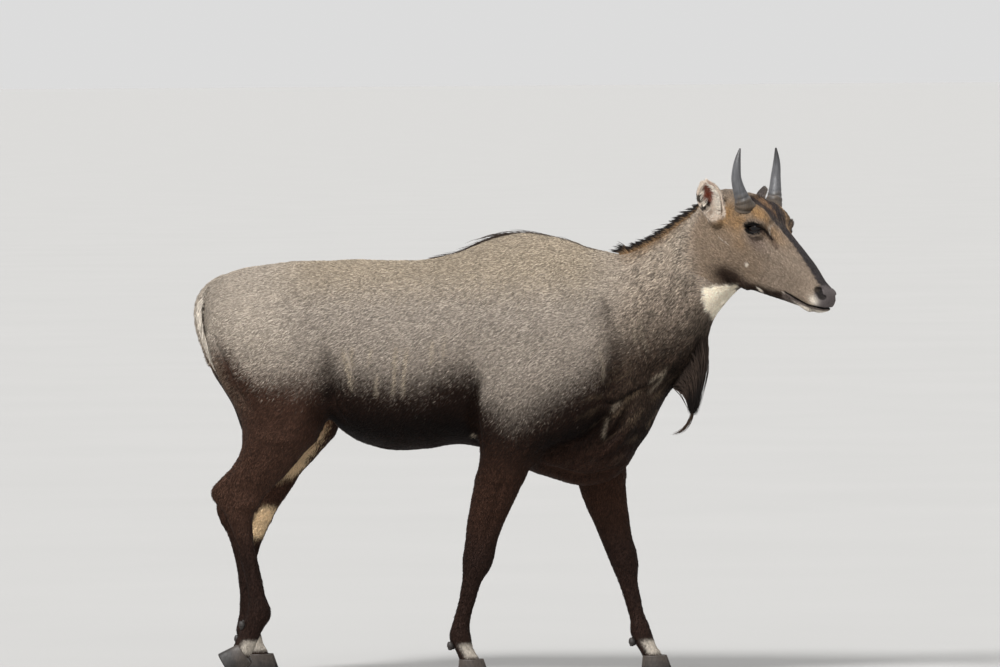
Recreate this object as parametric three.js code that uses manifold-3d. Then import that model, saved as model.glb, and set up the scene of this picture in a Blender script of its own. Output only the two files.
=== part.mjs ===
// A walking nilgai bull at life size, as a still model: solids of the body's named parts.
// Millimetres. +X is forward, +Y is the animal's left, +Z is up, and the floor is at z = 0.
import * as THREE from 'three';
import { mergeVertices } from 'three/addons/utils/BufferGeometryUtils.js';
import Module from 'manifold-3d';

const wasm = await Module();
wasm.setup();

// Clearances
const GAP = 0.3;
const NEAR = -1; // the animal's right side
const FAR = 1; // the animal's left side

const LEFT = new THREE.Vector3(0, 1, 0);
const FORWARD = new THREE.Vector3(1, 0, 0);

// Trunk: x, back line, belly line, half width, height of the widest part (-1 belly to 1 back)
const TORSO = [
  [-650, 1096, 975, 46, 0],
  [-634, 1134, 915, 96, 0],
  [-600, 1157, 856, 134, 0],
  [-545, 1176, 800, 168, 0],
  [-480, 1187, 748, 191, 0.05],
  [-400, 1197, 708, 206, 0],
  [-300, 1198, 748, 219, -0.05],
  [-246, 1201, 708, 229, -0.08],
  [-190, 1203, 675, 235, -0.1],
  [-100, 1199, 654, 244, -0.12],
  [0, 1203, 658, 246, -0.12],
  [90, 1223, 670, 239, -0.12],
  [170, 1256, 655, 221, -0.1],
  [230, 1272, 618, 207, -0.08],
  [290, 1277, 594, 196, -0.05],
  [370, 1265, 567, 188, 0],
  [432, 1247, 552, 182, 0],
  [495, 1219, 557, 171, 0],
  [550, 1192, 587, 158, 0],
  [602, 1158, 664, 130, 0],
  [642, 1100, 762, 92, 0],
  [664, 1030, 850, 40, 0],
];
const TORSO_RIDGE = 1.12; // how sharp the back is
const TORSO_BELLY = 0.86; // how full the belly is

// Neck: nape x and z, throat x and z, y of the middle, half width
const NECK = [
  [420, 1190, 560, 690, 0, 128],
  [482, 1210, 614, 704, 0, 144],
  [560, 1214, 682, 806, -3, 130],
  [640, 1248, 748, 874, -10, 114],
  [700, 1284, 797, 950, -20, 102],
  [752, 1320, 825, 1022, -32, 94],
  [800, 1350, 866, 1076, -42, 86],
  [848, 1366, 908, 1116, -56, 62],
];
const NECK_RIDGE = 1.3;
const NECK_THROAT = 0.92;

// Head: where its own frame sits, how far it looks down and to the animal's right
const POLL = new THREE.Vector3(873, -45, 1391);
const HEAD_PITCH = THREE.MathUtils.degToRad(38);
const HEAD_YAW = THREE.MathUtils.degToRad(30);
// Head, in its own frame: forward from the poll, forehead line, jaw line, half width, widest part
const HEAD = [
  [-26, -40, -110, 34, 0],
  [-8, -6, -146, 62, 0.1],
  [36, 24, -176, 76, 0.25],
  [80, 37, -190, 80, 0.35],
  [118, 45, -194, 80, 0.38],
  [152, 41, -192, 78, 0.38],
  [182, 36, -187, 73, 0.35],
  [210, 33, -180, 66, 0.3],
  [250, 31, -164, 55, 0.22],
  [300, 28, -143, 46, 0.15],
  [350, 22, -121, 39, 0.1],
  [396, 13, -102, 34, 0],
  [434, 4, -86, 34, -0.05],
  [462, -6, -74, 31, -0.05],
  [479, -21, -58, 20, 0],
];
const HEAD_BROW = 0.9;
const HEAD_JAW = 0.8;
const EYE = { forward: 177, up: 7, side: 62, radius: 21 };
const EYE_OUTWARD = new THREE.Vector3(0.34, 0.1, 0.93);
const EYE_SLIT = { long: 25, high: 12.5, deep: 11 };
const LID = { long: 27, high: 15, thick: 4 };
const ORBIT = { forward: 172, up: 10, side: 50, long: 42, high: 32, deep: 34 };
const NOSTRIL = { forward: 446, up: -22, side: 36, long: 14, high: 9, deep: 10 };
const MUZZLE = { forward: 438, up: -26, side: 14, long: 34, high: 24, deep: 24 };
const CHIN = { forward: 430, up: -77, long: 30, high: 12, deep: 23 };
const MOUTH = { back: [348, -84], middle: [410, -77], front: [484, -54], gape: 3.5, depth: 6 };
const HORN = [
  [112, 18, 62, 27],
  [104, 36, 68, 27],
  [92, 49, 75, 22],
  [73, 67, 84, 18],
  [53, 88, 90, 15],
  [36, 114, 91, 12],
  [22, 136, 88, 8],
  [8, 158, 82, 2.5],
];
// Ear: length, and half width and half depth at even steps from its root to its tip
const EAR_LENGTH = 124;
const EAR_WIDTH = [20, 28, 36, 39, 36, 27, 9];
const EAR_DEPTH = [21, 24, 24, 21, 16, 10, 4];
const EAR_WALL = 3.5;
const EAR_ROOT = new THREE.Vector3(52, -54, 62);
const EAR_TIP = { [NEAR]: new THREE.Vector3(-20, 26, 118), [FAR]: new THREE.Vector3(0, 8, 156) };
const EAR_FACE = new THREE.Vector3(0.69, 0.22, 0.69);

// Legs, from the top down: z, rear x, front x, y outward, half width
const LEGS = {
  fore_right: {
    side: NEAR,
    upper: [
      [1150, 200, 300, 88, 26],
      [1112, 166, 362, 108, 56],
      [1060, 142, 422, 124, 74],
      [1000, 130, 470, 133, 84],
      [920, 128, 525, 138, 88],
      [850, 134, 552, 140, 91],
      [780, 144, 538, 140, 90],
      [720, 154, 478, 138, 84],
      [665, 163, 385, 134, 76],
      [615, 162, 318, 130, 66],
      [575, 156, 288, 126, 54],
    ],
    middle: [
      [640, 190, 300, 130, 40],
      [590, 156, 298, 126, 60],
      [541, 143, 277, 124, 53],
      [485, 130, 251, 120, 45],
      [428, 121, 224, 116, 39],
      [385, 115, 211, 113, 37],
      [350, 110, 203, 112, 38],
      [322, 110, 192, 111, 35],
    ],
    cannon: [
      [350, 125, 185, 112, 26],
      [318, 110, 190, 111, 33],
      [285, 106, 169, 109, 26],
      [240, 97, 152, 107, 22],
      [190, 84, 137, 105, 22],
      [155, 75, 131, 103, 25],
    ],
    foot: [
      [170, 84, 126, 104, 20],
      [148, 70, 132, 103, 29],
      [122, 68, 136, 102, 32],
      [95, 82, 142, 101, 30],
      [70, 94, 156, 100, 33],
      [48, 100, 160, 100, 32],
    ],
    hooves: { toe: 188, heel: 94, y: 100, pitch: 0, lift: 0 },
    dewclaw: { x: 76, z: 104, y: 101 },
  },
  fore_left: {
    side: FAR,
    upper: [
      [1150, 210, 320, 88, 26],
      [1112, 176, 384, 108, 56],
      [1060, 158, 444, 124, 74],
      [1000, 160, 495, 133, 84],
      [920, 180, 550, 138, 88],
      [850, 215, 590, 140, 91],
      [780, 265, 606, 140, 90],
      [720, 315, 598, 138, 84],
      [665, 362, 566, 134, 76],
      [615, 385, 546, 130, 66],
      [575, 402, 540, 126, 52],
    ],
    middle: [
      [640, 410, 530, 130, 40],
      [590, 398, 547, 126, 60],
      [550, 405, 547, 124, 54],
      [500, 423, 551, 120, 46],
      [450, 446, 558, 117, 40],
      [399, 468, 567, 113, 37],
      [362, 484, 578, 112, 38],
      [325, 500, 584, 111, 36],
    ],
    cannon: [
      [352, 508, 568, 112, 26],
      [318, 503, 583, 111, 33],
      [285, 517, 582, 109, 26],
      [240, 533, 589, 107, 22],
      [190, 548, 600, 105, 22],
      [155, 556, 612, 103, 25],
    ],
    foot: [
      [170, 561, 603, 104, 20],
      [148, 554, 616, 103, 29],
      [122, 558, 624, 102, 32],
      [95, 572, 634, 101, 30],
      [70, 588, 650, 100, 33],
      [48, 596, 656, 100, 32],
    ],
    hooves: { toe: 684, heel: 590, y: 100, pitch: 0, lift: 0 },
    dewclaw: { x: 566, z: 104, y: 101 },
  },
  hind_right: {
    side: NEAR,
    upper: [
      [1120, -556, -430, 92, 30],
      [1085, -598, -374, 110, 62],
      [1040, -624, -340, 124, 84],
      [980, -640, -312, 132, 97],
      [910, -624, -290, 134, 101],
      [850, -586, -274, 134, 101],
      [790, -546, -262, 132, 95],
      [735, -524, -276, 128, 86],
      [690, -518, -306, 124, 76],
    ],
    middle: [
      [740, -500, -310, 126, 60],
      [690, -519, -306, 124, 74],
      [650, -530, -340, 119, 63],
      [612, -556, -373, 113, 52],
      [578, -592, -403, 107, 43],
      [546, -619, -441, 103, 36],
      [520, -615, -464, 101, 36],
      [494, -592, -478, 100, 36],
    ],
    cannon: [
      [540, -560, -490, 101, 24],
      [500, -588, -482, 100, 35],
      [468, -576, -494, 98, 31],
      [430, -560, -496, 97, 26],
      [380, -544, -488, 96, 23],
      [320, -529, -476, 94, 22],
      [260, -517, -463, 93, 23],
      [216, -512, -454, 92, 27],
    ],
    foot: [
      [236, -506, -460, 92, 20],
      [212, -517, -448, 92, 30],
      [184, -524, -446, 91, 33],
      [150, -538, -466, 91, 31],
      [116, -553, -484, 90, 32],
      [88, -563, -496, 90, 33],
      [64, -566, -508, 90, 30],
    ],
    hooves: { toe: -549, heel: -643, y: 90, pitch: 58, lift: -2 },
    dewclaw: { x: -528, z: 160, y: 91 },
  },
  hind_left: {
    side: FAR,
    upper: [
      [1120, -556, -430, 92, 30],
      [1085, -598, -374, 110, 62],
      [1040, -626, -340, 124, 84],
      [980, -642, -312, 132, 97],
      [910, -636, -290, 134, 101],
      [850, -612, -274, 134, 101],
      [790, -582, -262, 132, 95],
      [735, -562, -276, 128, 86],
      [690, -560, -300, 124, 76],
    ],
    middle: [
      [740, -540, -310, 126, 60],
      [690, -560, -304, 124, 74],
      [640, -572, -342, 119, 62],
      [590, -596, -388, 113, 51],
      [545, -622, -418, 107, 42],
      [505, -642, -444, 103, 36],
      [474, -645, -464, 101, 36],
      [446, -634, -478, 100, 36],
    ],
    cannon: [
      [490, -600, -490, 101, 24],
      [450, -632, -480, 100, 35],
      [415, -616, -494, 98, 32],
      [378, -602, -510, 97, 27],
      [330, -589, -523, 96, 24],
      [270, -581, -526, 95, 22],
      [200, -578, -525, 94, 23],
      [158, -582, -520, 94, 27],
    ],
    foot: [
      [176, -574, -528, 94, 20],
      [152, -586, -518, 94, 30],
      [126, -588, -512, 94, 33],
      [98, -574, -506, 94, 30],
      [72, -558, -492, 94, 33],
      [50, -552, -486, 94, 32],
    ],
    hooves: { toe: -458, heel: -556, y: 94, pitch: 0, lift: 0 },
    dewclaw: { x: -579, z: 108, y: 94 },
  },
};
const HOOF = { spread: 19, height: 66, width: 18, taper: 0.5 };
const DEWCLAW = { spread: 18, radius: 10, height: 14 };

// Tail: its middle line from the root to the end of the tuft
const TAIL_LINE = [[-590, 0, 1130], [-640, 0, 1112], [-668, 1, 1072], [-674, 2, 1020],
  [-662, 3, 950], [-634, 4, 892]];
const TUFT_LINE = [[-646, 4, 916], [-616, 4, 866], [-584, 4, 822], [-556, 5, 772], [-540, 6, 700]];

// Hair that stands off the outline: a low strip or pad, and flat tapered locks rooted in it
const NAPE_LINE = [[560, -3, 1206], [640, -10, 1240], [700, -20, 1276], [752, -32, 1312],
  [800, -42, 1342], [826, -50, 1354]];
const NAPE = { locks: 18, strip: 22, stripWidth: 12, length: 38, lean: 0.55, width: 15, thick: 3.4 };
const WITHERS_LINE = [[92, 0, 1214], [160, 0, 1244], [230, 0, 1266], [310, 0, 1268],
  [390, 0, 1252], [474, 0, 1220]];
const WITHERS = {
  locks: 15, strip: 16, stripWidth: 20, lift: 24, reach: 0.27, spread: 13, width: 15, thick: 3.6,
};
const BEARD_ROOTS = [[808, -27, 984], [786, -26, 926], [752, -24, 876]];
const BEARD_TIPS = [[783, -30, 792], [777, -30, 786], [768, -30, 776]];
const BEARD = { locks: 12, pad: 17, spread: 14, width: 14, thick: 5 };
const WISP = [[774, -30, 812], [764, -30, 756], [740, -30, 718], [706, -30, 702]];
const WISP_WIDTH = 5;
const TUFT = { locks: 10, spread: 13, width: 9, thick: 4 };

const HIDE = { colour: 0x8c8278, roughness: 0.85 };
const DARK_HIDE = { colour: 0x2b2522, roughness: 0.85 };
const HEAD_HIDE = { colour: 0x82735f, roughness: 0.85 };
const HAIR = { colour: 0x1c1815, roughness: 0.7 };
const PALE = { colour: 0xd8cfc2, roughness: 0.85 };
const KERATIN = { colour: 0x2e2c2a, roughness: 0.45 };
const EYEBALL = { colour: 0x120d0a, roughness: 0.1 };

// Curves through the columns of a table, one value each
function column(table, index, share) {
  const last = table.length - 1;
  const place = Math.min(share * last, last);
  const before = Math.min(Math.floor(place), last - 1);
  const value = (row) => table[THREE.MathUtils.clamp(row, 0, last)][index];
  const bend = place - before;
  const [p, q, r, s] = [-1, 0, 1, 2].map((step) => value(before + step));
  const slopeIn = (r - p) / 2;
  const slopeOut = (s - q) / 2;
  return (2 * bend ** 3 - 3 * bend ** 2 + 1) * q + (bend ** 3 - 2 * bend ** 2 + bend) * slopeIn
    + (3 * bend ** 2 - 2 * bend ** 3) * r + (bend ** 3 - bend ** 2) * slopeOut;
}

// A closed tube: a cylinder whose points are moved by a function of height, angle and reach
function shapedTube(sides, rows, place) {
  const tube = new THREE.CylinderGeometry(1, 1, 1, sides, rows);
  const position = tube.attributes.position;
  const from = new THREE.Vector3();
  for (let i = 0; i < position.count; i += 1) {
    from.fromBufferAttribute(position, i);
    const to = place(0.5 - from.y, Math.atan2(from.z, from.x), Math.hypot(from.x, from.z));
    position.setXYZ(i, to.x, to.y, to.z);
  }
  return tube;
}

// A ring point between a back point and a front point, with a half width sideways
function ringPoint(back, front, y, width, widest, shape, angle, reach) {
  const along = Math.cos(angle);
  const across = Math.sin(angle);
  const sharp = along > 0 ? shape[0] : shape[1];
  const shift = reach * (along + widest * across * across);
  const middle = new THREE.Vector2().addVectors(back, front).multiplyScalar(0.5);
  const half = new THREE.Vector2().subVectors(back, front).multiplyScalar(0.5);
  const side = reach * width * Math.sign(across) * Math.abs(across) ** sharp;
  return new THREE.Vector3(middle.x + half.x * shift, y + side, middle.y + half.y * shift);
}

function torsoTube() {
  const at = (share, index) => column(TORSO, index, share);
  return shapedTube(20, TORSO.length - 1, (share, angle, reach) => ringPoint(
    new THREE.Vector2(at(share, 0), at(share, 1)),
    new THREE.Vector2(at(share, 0), at(share, 2)),
    0, at(share, 3), at(share, 4), [TORSO_RIDGE, TORSO_BELLY], angle, reach,
  ));
}

function neckTube() {
  const at = (share, index) => column(NECK, index, share);
  return shapedTube(20, 2 * (NECK.length - 1), (share, angle, reach) => ringPoint(
    new THREE.Vector2(at(share, 0), at(share, 1)),
    new THREE.Vector2(at(share, 2), at(share, 3)),
    at(share, 4), at(share, 5), 0, [NECK_RIDGE, NECK_THROAT], angle, reach,
  ));
}

function headTube() {
  const at = (share, index) => column(HEAD, index, share);
  return onHead(shapedTube(18, HEAD.length - 1, (share, angle, reach) => ringPoint(
    new THREE.Vector2(at(share, 0), at(share, 1)),
    new THREE.Vector2(at(share, 0), at(share, 2)),
    0, at(share, 3), at(share, 4), [HEAD_BROW, HEAD_JAW], angle, reach,
  )));
}

function legTube(table, side, sides) {
  const at = (share, index) => column(table, index, share);
  return shapedTube(sides, table.length - 1, (share, angle, reach) => ringPoint(
    new THREE.Vector2(at(share, 2), at(share, 0)),
    new THREE.Vector2(at(share, 1), at(share, 0)),
    side * at(share, 3), at(share, 4), 0, [1, 1], angle, reach,
  ));
}

// A tapered tube along a curve; radius gives its half widths, sideways and upright, at a share
// of its length, and across is the direction that the first of them lies in
function tubeAlong(line, sides, rows, across, radius) {
  const curve = new THREE.CatmullRomCurve3(line.map((point) => new THREE.Vector3(...point)));
  return shapedTube(sides, rows, (share, angle, reach) => {
    const upright = new THREE.Vector3().crossVectors(curve.getTangentAt(share), across).normalize();
    const sideways = new THREE.Vector3().crossVectors(upright, curve.getTangentAt(share));
    const [wide, deep] = radius(share);
    return curve.getPointAt(share)
      .addScaledVector(sideways, reach * wide * Math.cos(angle))
      .addScaledVector(upright, reach * deep * Math.sin(angle));
  });
}

// A flat lock that is widest a little past its root and tapers to its tip
function lock(line, across, width, thick) {
  return tubeAlong(line, 4, 3, across, (share) => {
    const taper = Math.min(0.7 + 1.2 * share, 1) * (1 - 0.93 * share ** 1.6);
    return [width * taper, thick * (1 - 0.8 * share)];
  });
}

function ellipsoid(centre, radii, turn = new THREE.Quaternion()) {
  const ball = new THREE.SphereGeometry(1, 12, 7);
  return ball.applyMatrix4(new THREE.Matrix4().compose(centre, turn, radii));
}

// The head's own frame: x forward along the face, y to the animal's left, z up off the forehead
const headFrame = new THREE.Matrix4().makeRotationZ(-HEAD_YAW)
  .multiply(new THREE.Matrix4().makeRotationY(HEAD_PITCH)).setPosition(POLL);

function onHead(geometry) {
  return geometry.applyMatrix4(headFrame);
}

function headPoint(forward, side, up) {
  return new THREE.Vector3(forward, side, up);
}

function eyeTurn(side) {
  const outward = headPoint(EYE_OUTWARD.x, side * EYE_OUTWARD.z, EYE_OUTWARD.y).normalize();
  return new THREE.Quaternion().setFromUnitVectors(new THREE.Vector3(0, side, 0), outward);
}

function eyeBall(side) {
  const centre = headPoint(EYE.forward, side * EYE.side, EYE.up);
  const { radius } = EYE;
  return onHead(ellipsoid(centre, new THREE.Vector3(radius, radius, radius)));
}

function eyeSlit(side) {
  const outward = new THREE.Vector3(0, side, 0).applyQuaternion(eyeTurn(side));
  const centre = headPoint(EYE.forward, side * EYE.side, EYE.up).addScaledVector(outward, 17);
  const radii = new THREE.Vector3(EYE_SLIT.long, EYE_SLIT.deep, EYE_SLIT.high);
  return onHead(ellipsoid(centre, radii, eyeTurn(side)));
}

function lidRing(side) {
  const ring = new THREE.TorusGeometry(1, LID.thick / LID.high, 5, 12);
  ring.rotateX(Math.PI / 2);
  const outward = new THREE.Vector3(0, side, 0).applyQuaternion(eyeTurn(side));
  const centre = headPoint(EYE.forward, side * EYE.side, EYE.up).addScaledVector(outward, 15);
  const size = new THREE.Vector3(LID.long, LID.high, LID.high);
  return onHead(ring.applyMatrix4(new THREE.Matrix4().compose(centre, eyeTurn(side), size)));
}

function bump(spot, side = 0) {
  const centre = headPoint(spot.forward, side * (spot.side ?? 0), spot.up);
  return onHead(ellipsoid(centre, new THREE.Vector3(spot.long, spot.deep, spot.high)));
}

// The line between the lips, as a thin bent plate that cuts a groove round the muzzle
function mouthPlate() {
  const curve = new THREE.CatmullRomCurve3(
    [MOUTH.back, MOUTH.middle, MOUTH.front].map(([x, z]) => new THREE.Vector3(x, 0, z)),
  );
  const points = curve.getPoints(5);
  const outline = new THREE.Shape();
  outline.moveTo(points[0].x, points[0].z);
  points.slice(1).forEach((point) => outline.lineTo(point.x, point.z + MOUTH.gape / 2));
  points.slice(1).reverse().forEach((point) => outline.lineTo(point.x, point.z - MOUTH.gape / 2));
  const plate = new THREE.ExtrudeGeometry(outline, { depth: 120, bevelEnabled: false });
  return onHead(plate.rotateX(Math.PI / 2).translate(0, 60, 0));
}

function hornTube(side) {
  const line = HORN.map(([forward, up, out]) => [forward, side * out, up]);
  const at = (share, index) => column(HORN, index, share);
  return onHead(tubeAlong(line, 10, 12, headPoint(0, side, 0), (share) => [
    0.86 * at(share, 3), at(share, 3),
  ]));
}

// Ear: a leaf that is hollowed from its face
function earLeaf(side, inside) {
  const root = EAR_ROOT.clone();
  const tip = EAR_TIP[side];
  const start = headPoint(root.x, side * root.z, root.y);
  const up = headPoint(tip.x, side * tip.z, tip.y).sub(start).normalize();
  const face = headPoint(EAR_FACE.x, side * EAR_FACE.z, EAR_FACE.y);
  face.addScaledVector(up, -face.dot(up)).normalize();
  const across = new THREE.Vector3().crossVectors(up, face);
  const steps = EAR_WIDTH.map((width, i) => [width, EAR_DEPTH[i]]);
  const wall = inside ? EAR_WALL : 0;
  const from = inside ? 0.16 : 0;
  const to = inside ? 0.95 : 1;
  return onHead(shapedTube(10, 7, (share, angle, reach) => {
    const along = from + (to - from) * share;
    const end = Math.min(1, 5 * share + 0.4, 5 * (1 - share) + 0.4);
    const wide = (column(steps, 0, along) - wall) * reach * (inside ? end : 1);
    const deep = (column(steps, 1, along) - wall) * reach * (inside ? end : 1);
    return start.clone().addScaledVector(up, along * EAR_LENGTH)
      .addScaledVector(across, wide * Math.cos(angle))
      .addScaledVector(face, deep * Math.sin(angle) + 2.4 * wall);
  }));
}

// One half of a cloven hoof: flat below, pointed at the toe, steep at the heel
function hoofClaw(leg, inner) {
  const { toe, heel, y, pitch, lift } = leg.hooves;
  const length = toe - heel;
  const sideways = leg.side * (y + (inner ? -HOOF.spread : HOOF.spread));
  const claw = shapedTube(10, 3, (share, angle, reach) => {
    const height = HOOF.height * (1 - share);
    const along = Math.cos(angle);
    const front = length / 2 - 0.36 * height;
    const back = -length / 2 + 0.1 * height;
    const width = HOOF.width * (1 - 0.1 * (1 - share)) * (1 - HOOF.taper * Math.max(0, along) ** 2);
    const x = (front + back) / 2 + (front - back) / 2 * along * reach;
    return new THREE.Vector3(x, width * Math.sin(angle) * reach, height);
  });
  claw.translate(-length / 2, 0, 0).rotateY(THREE.MathUtils.degToRad(pitch));
  return claw.translate(toe, sideways, lift);
}

function dewclawTube(leg, inner) {
  const { x, z, y } = leg.dewclaw;
  const out = leg.side * (y + (inner ? -DEWCLAW.spread : DEWCLAW.spread));
  const claw = new THREE.SphereGeometry(1, 6, 4);
  claw.scale(DEWCLAW.radius, 0.8 * DEWCLAW.radius, DEWCLAW.height);
  return claw.translate(x, out, z);
}

// Draws between -1 and 1 that come out the same each time
function seededDraws(seed) {
  let state = seed;
  return () => {
    state = (state * 16807) % 2147483647;
    return 2 * state / 2147483647 - 1;
  };
}

function curveThrough(line) {
  return new THREE.CatmullRomCurve3(line.map((point) => new THREE.Vector3(...point)));
}

function strip(line, height, width) {
  return tubeAlong(line, 6, 8, LEFT, (share) => {
    const full = Math.min(1, 6 * share + 0.3, 6 * (1 - share) + 0.3);
    return [width * full, height * full];
  });
}

// Nape mane: short locks that stand up from the neck's crest and lean back
function napeShapes() {
  const draw = seededDraws(11);
  const curve = curveThrough(NAPE_LINE);
  const locks = [];
  for (let i = 0; i < NAPE.locks; i += 1) {
    const share = 0.02 + 0.94 * i / (NAPE.locks - 1);
    const root = curve.getPointAt(share);
    const along = curve.getTangentAt(share);
    const up = new THREE.Vector3().crossVectors(along, LEFT).normalize();
    const length = NAPE.length * (0.92 + 0.12 * draw()) * Math.min(1, 0.7 + 3 * (1 - share));
    const lean = NAPE.lean * (1 + 0.25 * draw());
    const side = 4 * draw();
    const at = (rise, back) => root.clone().addScaledVector(up, rise * length)
      .addScaledVector(along, -back * lean * length)
      .addScaledVector(LEFT, side * rise).toArray();
    locks.push(lock([at(0.15, 0), at(0.6, 0.25), at(1, 0.9)], along, NAPE.width, NAPE.thick));
  }
  return [strip(NAPE_LINE, NAPE.strip, NAPE.stripWidth), ...locks];
}

// Withers crest: longer locks that lie back along the spine
function withersShapes() {
  const draw = seededDraws(23);
  const curve = curveThrough(WITHERS_LINE);
  const locks = [];
  for (let i = 0; i < WITHERS.locks; i += 1) {
    const share = 1 - 0.74 * i / (WITHERS.locks - 1);
    const side = WITHERS.spread * ((i % 3) - 1 + 0.3 * draw());
    const lift = WITHERS.lift * (1 + 0.15 * draw());
    const reach = WITHERS.reach * (1 + 0.2 * draw());
    const at = (back, rise) => curve.getPointAt(Math.max(0, share - back * reach))
      .add(new THREE.Vector3(0, side * (1 - 0.4 * back), rise * lift)).toArray();
    const line = [at(0, 0.1), at(0.35, 0.7), at(0.7, 0.95), at(1, 1 - 0.012 * Math.abs(side))];
    locks.push(lock(line, LEFT, WITHERS.width, WITHERS.thick));
  }
  return [strip(WITHERS_LINE, WITHERS.strip, WITHERS.stripWidth), ...locks];
}

// Beard: locks that hang from a pad along the throat and draw together, and one long wisp
function beardShapes() {
  const draw = seededDraws(37);
  const roots = curveThrough(BEARD_ROOTS);
  const tips = curveThrough(BEARD_TIPS);
  const locks = [];
  for (let i = 0; i < BEARD.locks; i += 1) {
    const share = i / (BEARD.locks - 1);
    const side = BEARD.spread * ((i % 3) - 1 + 0.4 * draw());
    const root = roots.getPointAt(share).addScaledVector(LEFT, side);
    const tip = tips.getPointAt(share).addScaledVector(LEFT, 0.45 * side);
    tip.z += 14 * draw();
    const middle = root.clone().lerp(tip, 0.5).add(new THREE.Vector3(5 + 3 * draw(), 0, 0));
    const line = [root, middle, tip].map((point) => point.toArray());
    locks.push(lock(line, FORWARD, BEARD.width, BEARD.thick));
  }
  const pad = tubeAlong(BEARD_ROOTS, 6, 4, LEFT, (share) => {
    const full = Math.min(1, 4 * share + 0.4, 4 * (1 - share) + 0.4);
    return [1.2 * BEARD.pad * full, 0.8 * BEARD.pad * full];
  });
  return [pad, ...locks, lock(WISP, FORWARD, WISP_WIDTH, WISP_WIDTH / 2)];
}

// Tail tuft: locks round a slim core that hang on from the tail's end
function tuftShapes() {
  const draw = seededDraws(53);
  const locks = [];
  for (let i = 0; i < TUFT.locks; i += 1) {
    const turn = 2 * Math.PI * i / TUFT.locks;
    const length = 1 + 0.08 * draw();
    const line = TUFT_LINE.map(([x, y, z], step) => {
      const spread = TUFT.spread * [0.5, 0.9, 1.1, 0.9, 0.5][step];
      const drop = step === TUFT_LINE.length - 1 ? 60 * (length - 1) : 0;
      return [x + 0.8 * spread * Math.cos(turn), y + spread * Math.sin(turn), z - drop];
    });
    locks.push(lock(line, LEFT, TUFT.width, TUFT.thick));
  }
  const core = tubeAlong(TUFT_LINE.slice(0, 4), 8, 5, LEFT, (share) => [
    12 - 8 * share, 11 - 8 * share,
  ]);
  return [core, ...locks];
}

// Solids: closed meshes with their points merged, optionally grown along their normals
function solidOf(geometry, grow = 0) {
  const shell = geometry.clone();
  shell.deleteAttribute('normal');
  shell.deleteAttribute('uv');
  const merged = mergeVertices(shell, 1e-3);
  merged.computeVertexNormals();
  const { position, normal } = merged.attributes;
  const corners = merged.index.array.slice();
  const signed = signedVolume(position, corners);
  for (let i = 0; signed < 0 && i < corners.length; i += 3) {
    [corners[i], corners[i + 1]] = [corners[i + 1], corners[i]];
  }
  const out = Math.sign(signed) * grow;
  const points = new Float32Array(position.count * 3);
  for (let i = 0; i < position.count; i += 1) {
    points[3 * i] = position.getX(i) + out * normal.getX(i);
    points[3 * i + 1] = position.getY(i) + out * normal.getY(i);
    points[3 * i + 2] = position.getZ(i) + out * normal.getZ(i);
  }
  const mesh = { numProp: 3, vertProperties: points, triVerts: new Uint32Array(corners) };
  return new wasm.Manifold(new wasm.Mesh(mesh));
}

function signedVolume(position, corners) {
  const [a, b, c] = [new THREE.Vector3(), new THREE.Vector3(), new THREE.Vector3()];
  let total = 0;
  for (let i = 0; i < corners.length; i += 3) {
    a.fromBufferAttribute(position, corners[i]);
    b.fromBufferAttribute(position, corners[i + 1]);
    c.fromBufferAttribute(position, corners[i + 2]);
    total += a.dot(b.cross(c)) / 6;
  }
  return total;
}

function joined(geometries, grow = 0) {
  return geometries.map((geometry) => solidOf(geometry, grow))
    .reduce((all, next) => all.add(next));
}

// A part of the body: its shapes, and the solid that they make once its neighbours are cut away
const parts = {};

function addPart(name, look, shapes, neighbours = [], cutters = []) {
  let solid = joined(shapes);
  neighbours.forEach((neighbour) => {
    solid = solid.subtract(joined(parts[neighbour].shapes, GAP));
  });
  cutters.forEach((cutter) => {
    solid = solid.subtract(cutter);
  });
  parts[name] = { look, shapes, solid: largest(solid) };
}

function largest(solid) {
  const pieces = solid.decompose();
  return pieces.reduce((best, piece) => (piece.volume() > best.volume() ? piece : best));
}

function meshOf(name) {
  const { look, solid } = parts[name];
  const { vertProperties, triVerts, numProp } = solid.getMesh();
  const geometry = new THREE.BufferGeometry();
  const points = new Float32Array(vertProperties.length / numProp * 3);
  for (let i = 0; i < points.length / 3; i += 1) {
    points.set(vertProperties.slice(i * numProp, i * numProp + 3), 3 * i);
  }
  geometry.setAttribute('position', new THREE.BufferAttribute(points, 3));
  geometry.setIndex(new THREE.BufferAttribute(new Uint32Array(triVerts), 1));
  geometry.computeVertexNormals();
  const material = new THREE.MeshStandardMaterial({
    color: look.colour, roughness: look.roughness, metalness: 0,
  });
  const mesh = new THREE.Mesh(geometry, material);
  mesh.name = name;
  return mesh;
}

// Head
const sides = { left: FAR, right: NEAR };
Object.entries(sides).forEach(([word, side]) => {
  addPart(`eye_${word}`, EYEBALL, [eyeBall(side)]);
  addPart(`horn_${word}`, KERATIN, [hornTube(side)]);
});
const bothSides = Object.values(sides);
const lipCore = solidOf(headTube(), -MOUTH.depth);
addPart('head', HEAD_HIDE, [
  headTube(),
  bump(CHIN),
  ...bothSides.map((side) => bump(ORBIT, side)),
  ...bothSides.map((side) => bump(MUZZLE, side)),
  ...bothSides.map(lidRing),
], ['horn_left', 'horn_right'], [
  solidOf(mouthPlate()).subtract(lipCore),
  ...bothSides.map((side) => solidOf(bump(NOSTRIL, side))),
  ...bothSides.map((side) => solidOf(eyeSlit(side))),
  ...bothSides.map((side) => solidOf(eyeBall(side), GAP)),
]);
Object.entries(sides).forEach(([word, side]) => {
  const hollow = solidOf(earLeaf(side, true));
  addPart(`ear_${word}`, PALE, [earLeaf(side, false)], ['head', `horn_${word}`], [hollow]);
});

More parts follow.
